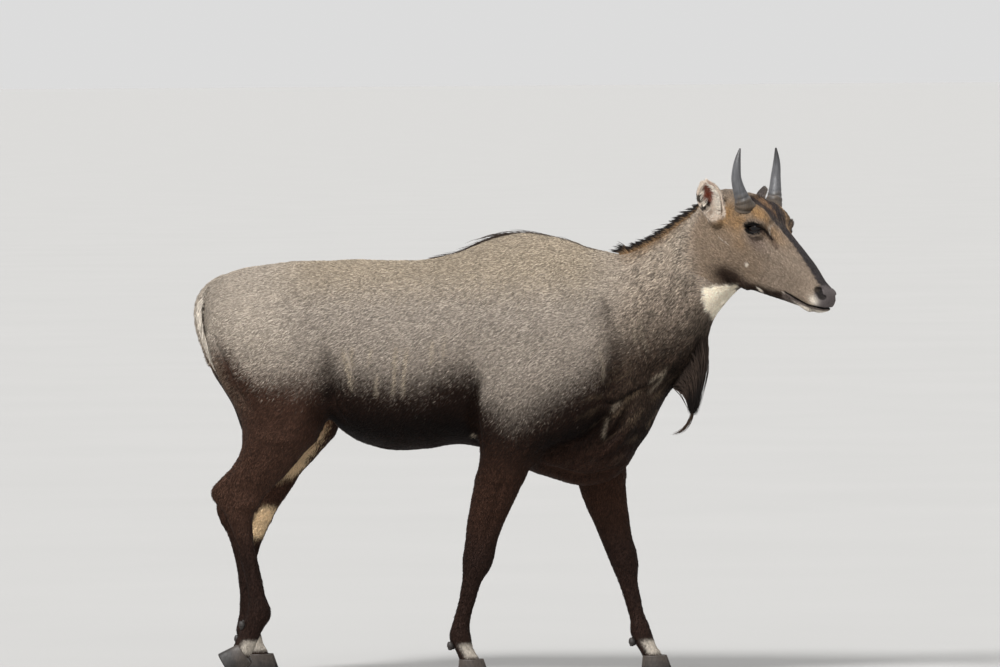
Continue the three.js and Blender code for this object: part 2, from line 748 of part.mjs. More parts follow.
// Legs
const floor = new THREE.BoxGeometry(3000, 1000, 200).translate(0, 0, -100);
Object.entries(LEGS).forEach(([name, leg]) => {
  const claws = [];
  ['inner', 'outer'].forEach((word) => {
    const inner = word === 'inner';
    addPart(`${name}_hoof_${word}`, KERATIN, [hoofClaw(leg, inner)], [], [solidOf(floor)]);
    addPart(`${name}_dewclaw_${word}`, KERATIN, [dewclawTube(leg, inner)]);
    claws.push(`${name}_hoof_${word}`, `${name}_dewclaw_${word}`);
  });
  addPart(`${name}_upper`, HIDE, [legTube(leg.upper, leg.side, 14)]);
  addPart(`${name}_middle`, DARK_HIDE, [legTube(leg.middle, leg.side, 12)], [`${name}_upper`]);
  addPart(`${name}_cannon`, DARK_HIDE, [legTube(leg.cannon, leg.side, 10)], [`${name}_middle`]);
  const footNeighbours = [`${name}_cannon`, ...claws];
  addPart(`${name}_foot`, DARK_HIDE, [legTube(leg.foot, leg.side, 10)], footNeighbours);
});

// Trunk, neck and tail
const legNames = Object.keys(LEGS);
const uppers = legNames.map((name) => `${name}_upper`);
const middles = legNames.map((name) => `${name}_middle`);
addPart('torso', HIDE, [torsoTube()], [...uppers, ...middles]);
addPart('neck', HIDE, [neckTube()], ['torso', 'head', 'ear_left', 'ear_right', ...uppers]);
const hips = ['torso', 'hind_left_upper', 'hind_right_upper', 'hind_left_middle', 'hind_right_middle'];
addPart('tail', HIDE, [
  tubeAlong(TAIL_LINE, 10, 8, LEFT, (share) => [24 - 10 * share, 20 - 8 * share]),
], hips);
addPart('tail_tuft', HAIR, tuftShapes(), ['tail', ...hips]);

// Hair
const trunk = ['neck', 'torso', 'head', 'ear_left', 'ear_right'];
addPart('mane_nape', HAIR, napeShapes(), trunk);
addPart('mane_withers', HAIR, withersShapes(), ['mane_nape', ...trunk, ...uppers]);
addPart('beard', HAIR, beardShapes(), ['neck', 'head', 'torso']);

// The model stands centred over its own origin
const model = new THREE.Group();
Object.keys(parts).forEach((name) => model.add(meshOf(name)));
const box = new THREE.Box3().setFromObject(model);
const middle = box.getCenter(new THREE.Vector3());
model.position.set(-middle.x, -middle.y, 0);

export default model;
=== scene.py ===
# A walking nilgai bull at life size: the finished surfaces over the solids of the frame.
# Shapes are worked out in millimetres in the body's own frame and set into the row's frame at the end.
import math

import bmesh
import bpy
import numpy as np
import openvdb
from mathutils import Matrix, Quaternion, Vector


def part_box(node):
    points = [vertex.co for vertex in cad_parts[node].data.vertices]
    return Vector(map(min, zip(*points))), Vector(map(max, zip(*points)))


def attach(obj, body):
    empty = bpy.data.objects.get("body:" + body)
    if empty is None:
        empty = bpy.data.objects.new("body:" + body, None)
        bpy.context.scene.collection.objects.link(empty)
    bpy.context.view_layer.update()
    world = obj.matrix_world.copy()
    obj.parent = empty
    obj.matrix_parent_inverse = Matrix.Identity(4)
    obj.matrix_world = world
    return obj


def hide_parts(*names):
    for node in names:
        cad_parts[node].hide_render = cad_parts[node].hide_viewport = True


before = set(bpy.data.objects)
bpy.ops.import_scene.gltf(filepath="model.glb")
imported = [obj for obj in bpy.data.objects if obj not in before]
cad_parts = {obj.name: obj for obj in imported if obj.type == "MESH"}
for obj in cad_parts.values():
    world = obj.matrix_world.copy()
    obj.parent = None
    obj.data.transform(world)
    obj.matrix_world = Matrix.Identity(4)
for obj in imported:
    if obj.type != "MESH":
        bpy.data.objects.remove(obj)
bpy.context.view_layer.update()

NEAR, FAR = -1, 1  # the animal's right side and its left side

# Trunk: x, back line, belly line, half width, height of the widest part (-1 belly to 1 back)
TORSO = [
    (-646, 1098, 1004, 46, 0), (-630, 1134, 944, 96, 0), (-598, 1157, 872, 134, 0),
    (-545, 1176, 800, 168, 0), (-480, 1187, 748, 191, 0.05), (-400, 1197, 708, 206, 0),
    (-300, 1198, 748, 219, -0.05), (-246, 1201, 708, 229, -0.08), (-190, 1203, 675, 235, -0.1),
    (-100, 1199, 654, 244, -0.12), (0, 1203, 658, 246, -0.12), (90, 1223, 670, 239, -0.12),
    (170, 1256, 655, 221, -0.1), (230, 1272, 618, 207, -0.08), (290, 1277, 594, 196, -0.05),
    (370, 1265, 567, 188, 0), (432, 1247, 552, 182, 0), (495, 1219, 557, 171, 0),
    (550, 1192, 587, 158, 0), (602, 1158, 664, 130, 0), (642, 1100, 762, 92, 0),
    (664, 1030, 850, 40, 0),
]
TORSO_SHAPE = (1.12, 0.86)  # how sharp the back is, how full the belly is

# Neck: nape x and z, throat x and z, y of the middle, half width
NECK = [
    (420, 1190, 560, 690, 0, 128), (482, 1210, 614, 704, 0, 144), (560, 1214, 682, 806, -3, 130),
    (640, 1248, 748, 874, -10, 114), (700, 1284, 797, 950, -20, 102),
    (752, 1320, 825, 1022, -32, 94), (800, 1350, 866, 1076, -42, 86),
    (848, 1366, 908, 1116, -56, 62),
]
NECK_SHAPE = (1.3, 0.92)

# Head, in its own frame: forward from the poll, forehead line, jaw line, half width, widest part
HEAD = [
    (-26, -40, -110, 34, 0), (-8, -6, -146, 62, 0.1), (36, 24, -176, 76, 0.25),
    (80, 37, -190, 80, 0.35), (118, 45, -194, 80, 0.38), (152, 41, -192, 78, 0.38),
    (182, 36, -187, 73, 0.35), (210, 33, -180, 66, 0.3), (250, 31, -164, 55, 0.22),
    (300, 28, -143, 46, 0.15), (350, 22, -121, 39, 0.1), (396, 13, -102, 34, 0),
    (434, 4, -86, 34, -0.05), (462, -6, -74, 31, -0.05), (479, -21, -58, 20, 0),
]
HEAD_SHAPE = (0.9, 0.8)
POLL = np.array((873.0, -45.0, 1391.0))
HEAD_PITCH, HEAD_YAW = math.radians(38), math.radians(30)

EYE = np.array((177.0, 62.0, 7.0))  # forward, sideways, up
EYE_RADIUS = 21.0
EYE_OUTWARD = np.array((0.34, 0.93, 0.1))
EYE_OPENING = (24.5, 12.5)  # half length, half height
LID_SLANT = 1.5  # how much higher its front corner lies
EYE_ALONG = np.array((1.0, 0.0, 0.6))
LID_FOLD = [(-27, 15, 5), (-15, 21, 14), (0, 22, 18), (15, 20, 14), (25, 14, 6)]  # along, out, up
LID_FOLD_LOW = [(-24, 14, -9), (-10, 19, -16), (6, 19, -17), (20, 15, -12)]
MOUTH = [(345, -88), (370, -84), (407, -75), (436, -65), (460, -53), (480, -44)]
HORN = [
    (112, 18, 62, 27), (104, 36, 68, 27), (92, 49, 75, 22), (73, 67, 84, 18), (53, 88, 90, 15),
    (36, 114, 91, 12), (22, 136, 88, 8), (8, 158, 82, 2.5),
]
HORN_FLARE = 17.0  # how far the foot of a horn reaches toward the forehead
EAR_LENGTH = {NEAR: 127, FAR: 121}
EAR_WIDTH = (17, 24, 31, 35, 35, 28, 12)
EAR_DEPTH = (19, 24, 25, 22, 18, 14, 7)
EAR_WALL = 4.8
EAR_ROOT = np.array((75.0, 80.0, -58.0))
EAR_TIP = {NEAR: np.array((-20.0, 118.0, 26.0)), FAR: np.array((0.0, 156.0, 8.0))}
EAR_FACE = np.array((0.69, 0.69, 0.22))

# Legs, from the top down: z, rear x, front x, y outward, half width
LEGS = {
    "fore_right": {
        "side": NEAR,
        "upper": [
            (1150, 200, 300, 88, 26), (1112, 166, 362, 108, 56), (1060, 142, 422, 124, 74),
            (1000, 130, 470, 133, 84), (920, 128, 525, 138, 88), (850, 134, 552, 140, 91),
            (780, 144, 538, 140, 90), (720, 154, 478, 138, 84), (665, 163, 385, 134, 76),
            (615, 162, 318, 130, 66), (575, 156, 288, 126, 54),
        ],
        "middle": [
            (640, 190, 300, 130, 40), (590, 156, 298, 126, 60), (541, 143, 277, 124, 53),
            (485, 130, 251, 120, 45), (428, 121, 224, 116, 39), (385, 115, 211, 113, 37),
            (350, 110, 203, 112, 38), (322, 110, 192, 111, 35),
        ],
        "cannon": [
            (350, 125, 185, 112, 26), (318, 110, 190, 111, 33), (285, 106, 169, 109, 26),
            (240, 97, 152, 107, 22), (190, 84, 137, 105, 22), (155, 75, 131, 103, 25),
        ],
        "foot": [
            (170, 84, 126, 104, 20), (148, 70, 132, 103, 29), (122, 68, 136, 102, 32),
            (95, 82, 142, 101, 30), (70, 94, 156, 100, 33), (48, 100, 160, 100, 32),
        ],
        "hooves": {"toe": 188, "heel": 94, "y": 100, "pitch": 0, "lift": 0},
        "dewclaw": {"x": 76, "z": 104, "y": 101},
    },
    "fore_left": {
        "side": FAR,
        "upper": [
            (1150, 210, 320, 88, 26), (1112, 176, 384, 108, 56), (1060, 158, 444, 124, 74),
            (1000, 160, 495, 133, 84), (920, 180, 550, 138, 88), (850, 215, 590, 140, 91),
            (780, 265, 606, 140, 90), (720, 315, 598, 138, 84), (665, 362, 566, 134, 76),
            (615, 385, 546, 130, 66), (575, 402, 540, 126, 52),
        ],
        "middle": [
            (640, 410, 530, 130, 40), (590, 398, 547, 126, 60), (550, 405, 547, 124, 54),
            (500, 423, 551, 120, 46), (450, 446, 558, 117, 40), (399, 468, 567, 113, 37),
            (362, 484, 578, 112, 38), (325, 500, 584, 111, 36),
        ],
        "cannon": [
            (352, 508, 568, 112, 26), (318, 503, 583, 111, 33), (285, 517, 582, 109, 26),
            (240, 533, 589, 107, 22), (190, 548, 600, 105, 22), (155, 556, 612, 103, 25),
        ],
        "foot": [
            (170, 561, 603, 104, 20), (148, 554, 616, 103, 29), (122, 558, 624, 102, 32),
            (95, 572, 634, 101, 30), (70, 588, 650, 100, 33), (48, 596, 656, 100, 32),
        ],
        "hooves": {"toe": 684, "heel": 590, "y": 100, "pitch": 0, "lift": 0},
        "dewclaw": {"x": 566, "z": 104, "y": 101},
    },
    "hind_right": {
        "side": NEAR,
        "upper": [
            (1120, -556, -430, 92, 30), (1085, -596, -374, 110, 62), (1040, -616, -340, 124, 84),
            (980, -620, -312, 132, 97), (910, -602, -290, 134, 101), (850, -576, -274, 134, 101),
            (790, -546, -262, 132, 95), (735, -524, -276, 128, 86), (690, -518, -306, 124, 76),
        ],
        "middle": [
            (740, -500, -310, 126, 60), (690, -519, -306, 124, 74), (650, -530, -340, 119, 63),
            (612, -556, -373, 113, 52), (578, -592, -403, 107, 43), (546, -619, -441, 103, 36),
            (520, -615, -464, 101, 36), (494, -592, -478, 100, 36),
        ],
        "cannon": [
            (540, -560, -490, 101, 24), (500, -588, -482, 100, 35), (468, -576, -494, 98, 31),
            (430, -560, -496, 97, 26), (380, -544, -488, 96, 23), (320, -529, -476, 94, 22),
            (260, -517, -463, 93, 23), (216, -512, -454, 92, 27),
        ],
        "foot": [
            (236, -506, -460, 92, 20), (212, -517, -448, 92, 30), (184, -524, -446, 91, 33),
            (150, -538, -466, 91, 31), (116, -553, -484, 90, 32), (88, -563, -496, 90, 33),
            (64, -566, -508, 90, 30),
        ],
        "hooves": {"toe": -549, "heel": -643, "y": 90, "pitch": 58, "lift": -2},
        "dewclaw": {"x": -528, "z": 160, "y": 91},
    },
    "hind_left": {
        "side": FAR,
        "upper": [
            (1120, -556, -430, 92, 30), (1085, -596, -374, 110, 62), (1040, -616, -340, 124, 84),
            (980, -622, -312, 132, 97), (910, -612, -290, 134, 101), (850, -596, -274, 134, 101),
            (790, -582, -262, 132, 95), (735, -562, -276, 128, 86), (690, -560, -300, 124, 76),
        ],
        "middle": [
            (740, -540, -310, 126, 60), (690, -560, -304, 124, 74), (640, -572, -342, 119, 62),
            (590, -596, -388, 113, 51), (545, -622, -418, 107, 42), (505, -642, -444, 103, 36),
            (474, -645, -464, 101, 36), (446, -634, -478, 100, 36),
        ],
        "cannon": [
            (490, -600, -490, 101, 24), (450, -632, -480, 100, 35), (415, -616, -494, 98, 32),
            (378, -602, -510, 97, 27), (330, -589, -523, 96, 24), (270, -581, -526, 95, 22),
            (200, -578, -525, 94, 23), (158, -582, -520, 94, 27),
        ],
        "foot": [
            (176, -574, -528, 94, 20), (152, -586, -518, 94, 30), (126, -588, -512, 94, 33),
            (98, -574, -506, 94, 30), (72, -558, -492, 94, 33), (50, -552, -486, 94, 32),
        ],
        "hooves": {"toe": -458, "heel": -556, "y": 94, "pitch": 0, "lift": 0},
        "dewclaw": {"x": -579, "z": 108, "y": 94},
    },
}
HOOF = {"spread": 19, "height": 66, "width": 18, "taper": 0.5}
DEWCLAW = {"spread": 18, "radius": 10, "height": 14}

TAIL_LINE = [(-590, 0, 1130), (-636, 0, 1112), (-662, -3, 1072), (-663, -12, 1020),
             (-645, -24, 950), (-620, -26, 892)]
TUFT_LINE = [(-634, -26, 916), (-606, -20, 866), (-580, -10, 822), (-556, 0, 772), (-540, 6, 700)]
NAPE_LINE = [(560, -3, 1206), (640, -10, 1240), (700, -20, 1276), (752, -32, 1312),
             (800, -42, 1342), (826, -50, 1354)]
WITHERS_LINE = [(30, 0, 1204), (92, 0, 1214), (160, 0, 1244), (230, 0, 1266), (310, 0, 1268),
                (390, 0, 1252), (474, 0, 1220)]
BEARD_ROOTS = [(800, -30, 1004), (764, -27, 934), (724, -25, 866), (704, -24, 836)]
BEARD_TIPS = [(774, -30, 790), (770, -30, 788), (764, -30, 790), (758, -30, 794)]
WISP = [(768, -30, 820), (760, -30, 756), (743, -30, 722), (722, -30, 705), (697, -30, 697)]

# Grids that the skin is drawn out of: the body's, and a finer one for the head
BAND = 34.0
BODY_STEP = 5.2
HEAD_STEP = 2.3
BODY_LOW, BODY_HIGH = (-710, -262, 20), (860, 262, 1400)
HEAD_LOW, HEAD_HIGH = (690, -312, 930), (1250, 142, 1530)
CUT_POINT = np.array((766.0, 0.0, 1142.0))  # where the neck's skin passes from one to the other
CUT_NORMAL = np.array((0.969, 0.0, 0.248))
CUT_GAP = 4.0


# Frames: body to row, and head to body
turn_yaw = np.array([
    (math.cos(HEAD_YAW), math.sin(HEAD_YAW), 0),
    (-math.sin(HEAD_YAW), math.cos(HEAD_YAW), 0),
    (0, 0, 1),
])
turn_pitch = np.array([
    (math.cos(HEAD_PITCH), 0, math.sin(HEAD_PITCH)),
    (0, 1, 0),
    (-math.sin(HEAD_PITCH), 0, math.cos(HEAD_PITCH)),
])
HEAD_AXES = (turn_yaw @ turn_pitch).T  # rows: forward, left, up


def from_head(points):
    return POLL + np.asarray(points, float) @ HEAD_AXES


def to_head(points):
    return (np.asarray(points, float) - POLL) @ HEAD_AXES.T


def mirrored(point, side):
    return np.array((point[0], side * point[1], point[2]), float)


eye_low, eye_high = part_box("eye_right")
SHIFT = np.array((eye_low + eye_high) / 2) * 1000 - from_head(mirrored(EYE, NEAR))


def to_row(points):
    return (np.asarray(points, float) + SHIFT) / 1000


# Small sums
def unit(vectors):
    vectors = np.asarray(vectors, float)
    return vectors / np.maximum(np.linalg.norm(vectors, axis=-1, keepdims=True), 1e-9)


def rise(low, high, value):
    share = np.clip((value - low) / (high - low), 0, 1)
    return share * share * (3 - 2 * share)


def fall(low, high, value):
    return 1 - rise(low, high, value)


def mixed(first, second, share):
    share = np.asarray(share)[..., None]
    return first * (1 - share) + second * share


def smooth_rows(table, count):
    """The rows of a table at even steps, on a smooth curve through them."""
    rows = np.asarray(table, float)
    last = len(rows) - 1
    place = np.linspace(0, last, count)
    before = np.minimum(place.astype(int), last - 1)
    bend = (place - before)[:, None]
    p, q = rows[np.maximum(before - 1, 0)], rows[before]
    r, s = rows[before + 1], rows[np.minimum(before + 2, last)]
    return ((2 * bend**3 - 3 * bend**2 + 1) * q + (bend**3 - 2 * bend**2 + bend) * (r - p) / 2
            + (3 * bend**2 - 2 * bend**3) * r + (bend**3 - bend**2) * (s - q) / 2)


def sampled(places, stations, rows):
    """A table's rows at places between its stations."""
    return np.stack([np.interp(places, stations, column) for column in np.transpose(rows)], axis=-1)


def line_through(points, count):
    """Points at even distances along a smooth curve."""
    fine = smooth_rows(points, 40 * len(points))
    length = np.concatenate([[0], np.cumsum(np.linalg.norm(np.diff(fine, axis=0), axis=1))])
    return sampled(np.linspace(0, length[-1], count), length, fine)


def together(x, y, z):
    return np.stack(np.broadcast_arrays(x, y, z), axis=-1)


def scaled(vectors, sizes):
    return vectors * sizes[:, None]


def around(sides):
    return np.linspace(0, 2 * math.pi, sides, endpoint=False)


def noise3(points, scale, seed, octaves=3):
    """Soft noise between about -1 and 1 from a sum of turned waves."""
    draw = np.random.default_rng(seed)
    total = np.zeros(len(points))
    for octave in range(octaves):
        size = scale / 2**octave
        for _ in range(6):
            way = unit(draw.normal(size=3)) * (0.7 + 0.6 * draw.random()) * 2 * math.pi / size
            total += np.sin(points @ way + draw.random() * 7) / (6 * 1.6**octave) * 1.7
    return total


# Closed shapes as points and faces
# Columns of a table that make a ring: back x and z, front x and z, y, half width, widest part
NO_COLUMN = -1
TRUNK_COLUMNS = (0, 1, 0, 2, NO_COLUMN, 3, 4)
NECK_COLUMNS = (0, 1, 2, 3, 4, 5, NO_COLUMN)
LEG_COLUMNS = (2, 0, 1, 0, 3, 4, NO_COLUMN)
TRUNK_SIDES, LEG_SIDES, TAIL_SIDES, EAR_SIDES = 96, 48, 32, 40
# Rings along each form, and for a leg the rings to each row of its table
TRUNK_RINGS, NECK_RINGS, SKULL_RINGS, TAIL_RINGS, EAR_RINGS, LEG_RINGS = 150, 80, 150, 60, 60, 12


def lofted(table, count, columns, shape, sides, side=1):
    """Rings through a smoothed table, sharp or full at their back and their front."""
    rows = np.column_stack([smooth_rows(table, count), np.zeros(count)])
    back_x, back_z, front_x, front_z, y, width, widest = rows[:, columns].T[..., None]
    along, across = np.cos(around(sides)), np.sin(around(sides))
    out = np.sign(across) * np.abs(across) ** np.where(along > 0, *shape)
    shift = along + widest * across**2
    x = (back_x + front_x) / 2 + (back_x - front_x) / 2 * shift
    z = (back_z + front_z) / 2 + (back_z - front_z) / 2 * shift
    return np.stack([x, side * y + width * out, z], axis=2)


def tube_faces(rows, sides):
    """Walls as quads and two ends as fans, for rings followed by the two end points."""
    ring = np.arange(rows * sides).reshape(rows, sides)
    after = np.roll(ring, -1, axis=1)
    quads = np.stack([ring[:-1], after[:-1], after[1:], ring[1:]], axis=2).reshape(-1, 4)
    first, last = rows * sides, rows * sides + 1
    top = np.stack([np.full(sides, first), after[0], ring[0]], axis=1)
    bottom = np.stack([np.full(sides, last), ring[-1], after[-1]], axis=1)
    return quads, np.concatenate([top, bottom])


def closed_tube(rings):
    rows, sides = rings.shape[:2]
    ends = np.stack([rings[0].mean(0), rings[-1].mean(0)])
    quads, fans = tube_faces(rows, sides)
    return np.concatenate([rings.reshape(-1, 3), ends]), quads, fans


def neck_rings():
    return lofted(NECK, NECK_RINGS, NECK_COLUMNS, NECK_SHAPE, TRUNK_SIDES)


def leg_rings(leg, part):
    count = LEG_RINGS * len(leg[part])
    return lofted(leg[part], count, LEG_COLUMNS, (1, 1), LEG_SIDES, leg["side"])


def ellipses(line, sides, wide, across, deep, upright):
    """A ring of points round each point of a line, wide one way and deep the other."""
    angle = around(sides)
    return (line[:, None] + (wide[:, None] * np.cos(angle))[..., None] * np.expand_dims(across, -2)
            + (deep[:, None] * np.sin(angle))[..., None] * np.expand_dims(upright, -2))


def tube_along(line, sides, across, wide, deep):
    """A tube round a line: wide along the direction across, deep upright to it."""
    tangent = unit(np.gradient(line, axis=0))
    upright = unit(np.cross(tangent, across))
    return ellipses(line, sides, wide, np.cross(upright, tangent), deep, upright)


def tail_rings():
    share = np.linspace(0, 1, TAIL_RINGS)
    line = line_through(TAIL_LINE, TAIL_RINGS)
    return tube_along(line, TAIL_SIDES, (0, 1, 0), 24 - 10 * share, 24 - 11 * share)


def ear_frame(side):
    """The foot of an ear, and its directions on the head: up it, across it, out of its cup."""
    start = mirrored(EAR_ROOT, side)
    up = unit(mirrored(EAR_TIP[side], side) - start)
    face = mirrored(EAR_FACE, side)
    face = unit(face - up * (face @ up))
    return start, up, np.cross(up, face), face


def ear_size(share, steps):
    """Half the width and half the depth of an ear, at shares of its length."""
    return sampled(share, np.linspace(0, 1, steps),
                   smooth_rows(np.stack([EAR_WIDTH, EAR_DEPTH], axis=1), steps)).T


def ear_rings(side, inside):
    """The outer form of an ear, or the hollow of its cup, narrowed at both ends."""
    start, up, across, face = ear_frame(side)
    wall = EAR_WALL if inside else 0
    share = np.linspace(0, 1, EAR_RINGS)
    along = 0.1 + 0.85 * share if inside else share
    width, depth = ear_size(along, 241)
    end = np.minimum(1, np.minimum(5 * share + 0.4, 5 * (1 - share) + 0.4)) if inside else 1
    wide, deep = (width - wall) * end, (depth - wall) * end
    line = start + np.outer(along * EAR_LENGTH[side], up) + 2.0 * wall * face
    return from_head(ellipses(line, EAR_SIDES, wide, across, deep, face))


# Fields of signed distance that forms are joined to and cut out of
class Field:
    def __init__(self, low, high, step):
        self.step = step
        self.first = np.floor(np.array(low) / step).astype(int)
        size = np.ceil(np.array(high) / step).astype(int) - self.first + 1
        self.values = np.full(size, BAND, np.float32)

    def window(self, low, high):
        start = np.floor((np.asarray(low) - BAND) / self.step).astype(int) - self.first
        end = np.ceil((np.asarray(high) + BAND) / self.step).astype(int) - self.first + 1
        start = np.clip(start, 0, self.values.shape)
        end = np.clip(end, start + 1, self.values.shape)
        return tuple(slice(a, b) for a, b in zip(start, end))

    def spots(self, window):
        axes = [(np.arange(w.start, w.stop) + f) * self.step for w, f in zip(window, self.first)]
        return np.stack(np.meshgrid(*axes, indexing="ij"), axis=-1).astype(np.float32)

    def from_rings(self, rings):
        points, quads, fans = closed_tube(rings)
        window = self.window(points.min(0), points.max(0))
        grid = openvdb.FloatGrid.createLevelSetFromPolygons(
            points.astype(np.float32), triangles=fans.astype(np.uint32),
            quads=quads.astype(np.uint32), halfWidth=BAND / self.step,
            transform=openvdb.createLinearTransform(self.step))
        values = np.empty([w.stop - w.start for w in window], np.float32)
        corner = [w.start + f for w, f in zip(window, self.first)]
        grid.copyToArray(values, ijk=tuple(int(c) for c in corner))
        return window, values

    def from_ball(self, centre, axes, radii):
        centre, radii = np.asarray(centre, float), np.asarray(radii, float)
        window = self.window(centre - radii.max(), centre + radii.max())
        local = (self.spots(window) - centre.astype(np.float32)) @ np.asarray(axes, np.float32).T
        scaled = np.linalg.norm(local / radii.astype(np.float32), axis=-1)
        steep = np.linalg.norm(local / (radii**2).astype(np.float32), axis=-1)
        return window, scaled * (scaled - 1) / np.maximum(steep, 1e-6)

    def from_rod(self, start, end, radius, end_radius):
        start, end = np.asarray(start, float), np.asarray(end, float)
        most = max(radius, end_radius)
        window = self.window(np.minimum(start, end) - most, np.maximum(start, end) + most)
        local = self.spots(window) - start.astype(np.float32)
        way = (end - start).astype(np.float32)
        share = np.clip(local @ way / (way @ way), 0, 1)
        away = np.linalg.norm(local - share[..., None] * way, axis=-1)
        return window, away - (radius + (end_radius - radius) * share)

    def head_ball(self, centre, radii, side=FAR):
        return self.from_ball(from_head(mirrored(centre, side)), HEAD_AXES, radii)

    def rods(self, line, radius, end_radius):
        return [self.from_rod(start, end, radius, end_radius) for start, end in zip(line, line[1:])]

    def merge(self, made, inset, blend, sign):
        window, values = made
        there, values = sign * self.values[window], values + inset
        close = np.maximum(blend - np.abs(there - values), 0) / max(blend, 1e-6)
        self.values[window] = sign * (np.minimum(there, values) - close**2 * blend / 4)

    def join(self, made, inset=0.0, blend=0.0):
        self.merge(made, inset, blend, 1)

    def cut(self, made, blend=0.0):
        self.merge(made, 0.0, blend, -1)

    def join_rings(self, rings, inset, blend=0.0):
        self.join(self.from_rings(rings), inset, blend)

    def surface(self):
        grid = openvdb.FloatGrid(BAND)
        grid.copyFromArray(self.values, ijk=tuple(int(f) for f in self.first))
        grid.transform = openvdb.createLinearTransform(self.step)
        return grid.convertToQuads(isovalue=0)


# How far a form is drawn in before it is joined, and how softly the parts of a leg join
BODY_INSET, LEG_INSET, HEAD_INSET = 4.5, 3.2, 1.6
LEG_BLENDS = {"middle": 18, "cannon": 12, "foot": 9}
NECK_BLEND, UPPER_LEG_BLEND, TAIL_BLEND, SKULL_BLEND, EAR_BLEND = 42, 30, 22, 26, 12


def body_field():
    field = Field(BODY_LOW, BODY_HIGH, BODY_STEP)
    trunk = lofted(TORSO, TRUNK_RINGS, TRUNK_COLUMNS, TORSO_SHAPE, TRUNK_SIDES)
    field.join_rings(trunk, BODY_INSET)
    field.join_rings(neck_rings(), BODY_INSET, NECK_BLEND)
    for leg in LEGS.values():
        field.join_rings(leg_rings(leg, "upper"), BODY_INSET, UPPER_LEG_BLEND)
    for leg in LEGS.values():
        for part, blend in LEG_BLENDS.items():
            field.join_rings(leg_rings(leg, part), LEG_INSET, blend)
    field.join_rings(tail_rings(), LEG_INSET, TAIL_BLEND)
    return field


# Head forms, in the head's frame: forward, side and up, with radii the same way, and the blend
HEAD_BALLS = {
    "orbit": ((172, 50, 10), (42, 33, 31), 12),
    "brow": ((152, 46, 38), (38, 20, 14), 12),
    "pedicel": ((116, 56, 8), (42, 26, 24), 14),
    "pedicel_front": ((130, 40, 33), (26, 17, 16), 12),
    "cheek": ((112, 52, -112), (64, 26, 66), 30),
    "cheekbone": ((222, 44, -28), (46, 17, 17), 18),
    "jaw": ((190, 34, -157), (58, 20, 18), 20),
    "nose_side": ((330, 25, -18), (74, 17, 24), 20),
    "upper_lip": ((420, 26, -48), (46, 14, 21), 12),
    "muzzle": ((440, 15, -26), (34, 22, 24), 12),
    "nostril_rim": ((446, 27, -18), (22, 9, 16), 7),
    "lower_lip": ((402, 17, -82), (44, 15, 10), 8),
    "ear_base": ((60, 62, -50), (32, 26, 32), 16),
}
HEAD_MIDDLE_BALLS = {
    "chin": ((416, 0, -79), (30, 19, 12), 8),
    "forehead": ((118, 0, 24), (62, 44, 27), 20),
    "poll": ((20, 0, -26), (34, 40, 24), 20),
}


# The comma of a nostril, as three hollows with middle and radii, and the groove below the eye
NOSTRIL = [
    ((436, 33, -11), (11, 18, 9)), ((446, 31, -14), (11, 18, 8)), ((457, 28, -18), (11, 17, 8)),
]
TEAR_GROOVE = [(200, 63, 20), (216, 54, 12), (234, 48, 6), (262, 45, -1)]


def head_field():
    field = Field(HEAD_LOW, HEAD_HIGH, HEAD_STEP)
    field.join_rings(neck_rings(), BODY_INSET)
    skull = lofted(HEAD, SKULL_RINGS, TRUNK_COLUMNS, HEAD_SHAPE, TRUNK_SIDES)
    field.join_rings(from_head(skull), HEAD_INSET, SKULL_BLEND)
    for centre, radii, blend in HEAD_MIDDLE_BALLS.values():
        field.join(field.head_ball(centre, radii), HEAD_INSET, blend)
    for side in (NEAR, FAR):
        for centre, radii, blend in HEAD_BALLS.values():
            field.join(field.head_ball(centre, radii, side), HEAD_INSET, blend)
        field.join_rings(ear_rings(side, False), 0, EAR_BLEND)
        field.cut(field.from_rings(ear_rings(side, True)), 2)
        join_lid_folds(field, side)
        cut_eye(field, side)
        for centre, radii in NOSTRIL:
            field.cut(field.head_ball(centre, radii, side), 3)
        groove = [from_head(mirrored(spot, side)) for spot in TEAR_GROOVE]
        for rod in field.rods(groove, 2.4, 1.8):
            field.cut(rod, 5)
    cut_mouth(field)
    return field


def eye_axes(side):
    """Rows: along the lids, outward, up."""
    outward = unit(mirrored(EYE_OUTWARD, side))
    along = unit(EYE_ALONG - outward * (outward @ EYE_ALONG))
    return np.stack([along, outward, np.cross(along, outward) * side])


def join_lid_folds(field, side):
    """The fold of skin over the upper lid and the softer one under the lower lid."""
    for rows, radius in ((LID_FOLD, 4.2), (LID_FOLD_LOW, 3.2)):
        line = smooth_rows(rows, 9) - (0, 0 if side == NEAR else 4, 0)
        spots = from_head(line @ eye_axes(side) + mirrored(EYE, side))
        for rod in field.rods(spots, radius, radius):
            field.join(rod, 0, 6)


def cut_eye(field, side):
    axes = eye_axes(side)
    middle = from_head(mirrored(EYE, side) + 17 * axes[1])
    opening = (EYE_OPENING[0] + 1, 12, EYE_OPENING[1])
    field.cut(field.from_ball(middle, axes @ HEAD_AXES, opening), 2)
    field.cut(field.head_ball(EYE, [EYE_RADIUS + 0.6] * 3, side), 0.5)


def mouth_height(forward):
    line = smooth_rows(MOUTH, 40)
    return np.interp(forward, line[:, 0], line[:, 1])


def cut_mouth(field):
    corner = [from_head((forward, side, up)) for forward, up in ((340, -120), (500, 0))
              for side in (-60, 60)]
    window = field.window(np.min(corner, axis=0), np.max(corner, axis=0))
    forward, _, up = to_head(field.spots(window).reshape(-1, 3)).T
    gape = 1.9 * rise(336, 372, forward)
    slot = np.abs(up - mouth_height(forward)) - gape + 60 * (forward < 342)
    depth = -(field.values[window].reshape(-1) + 7)
    values = np.maximum(slot, depth).reshape(field.values[window].shape)
    field.cut((window, values.astype(np.float32)), 3.5)


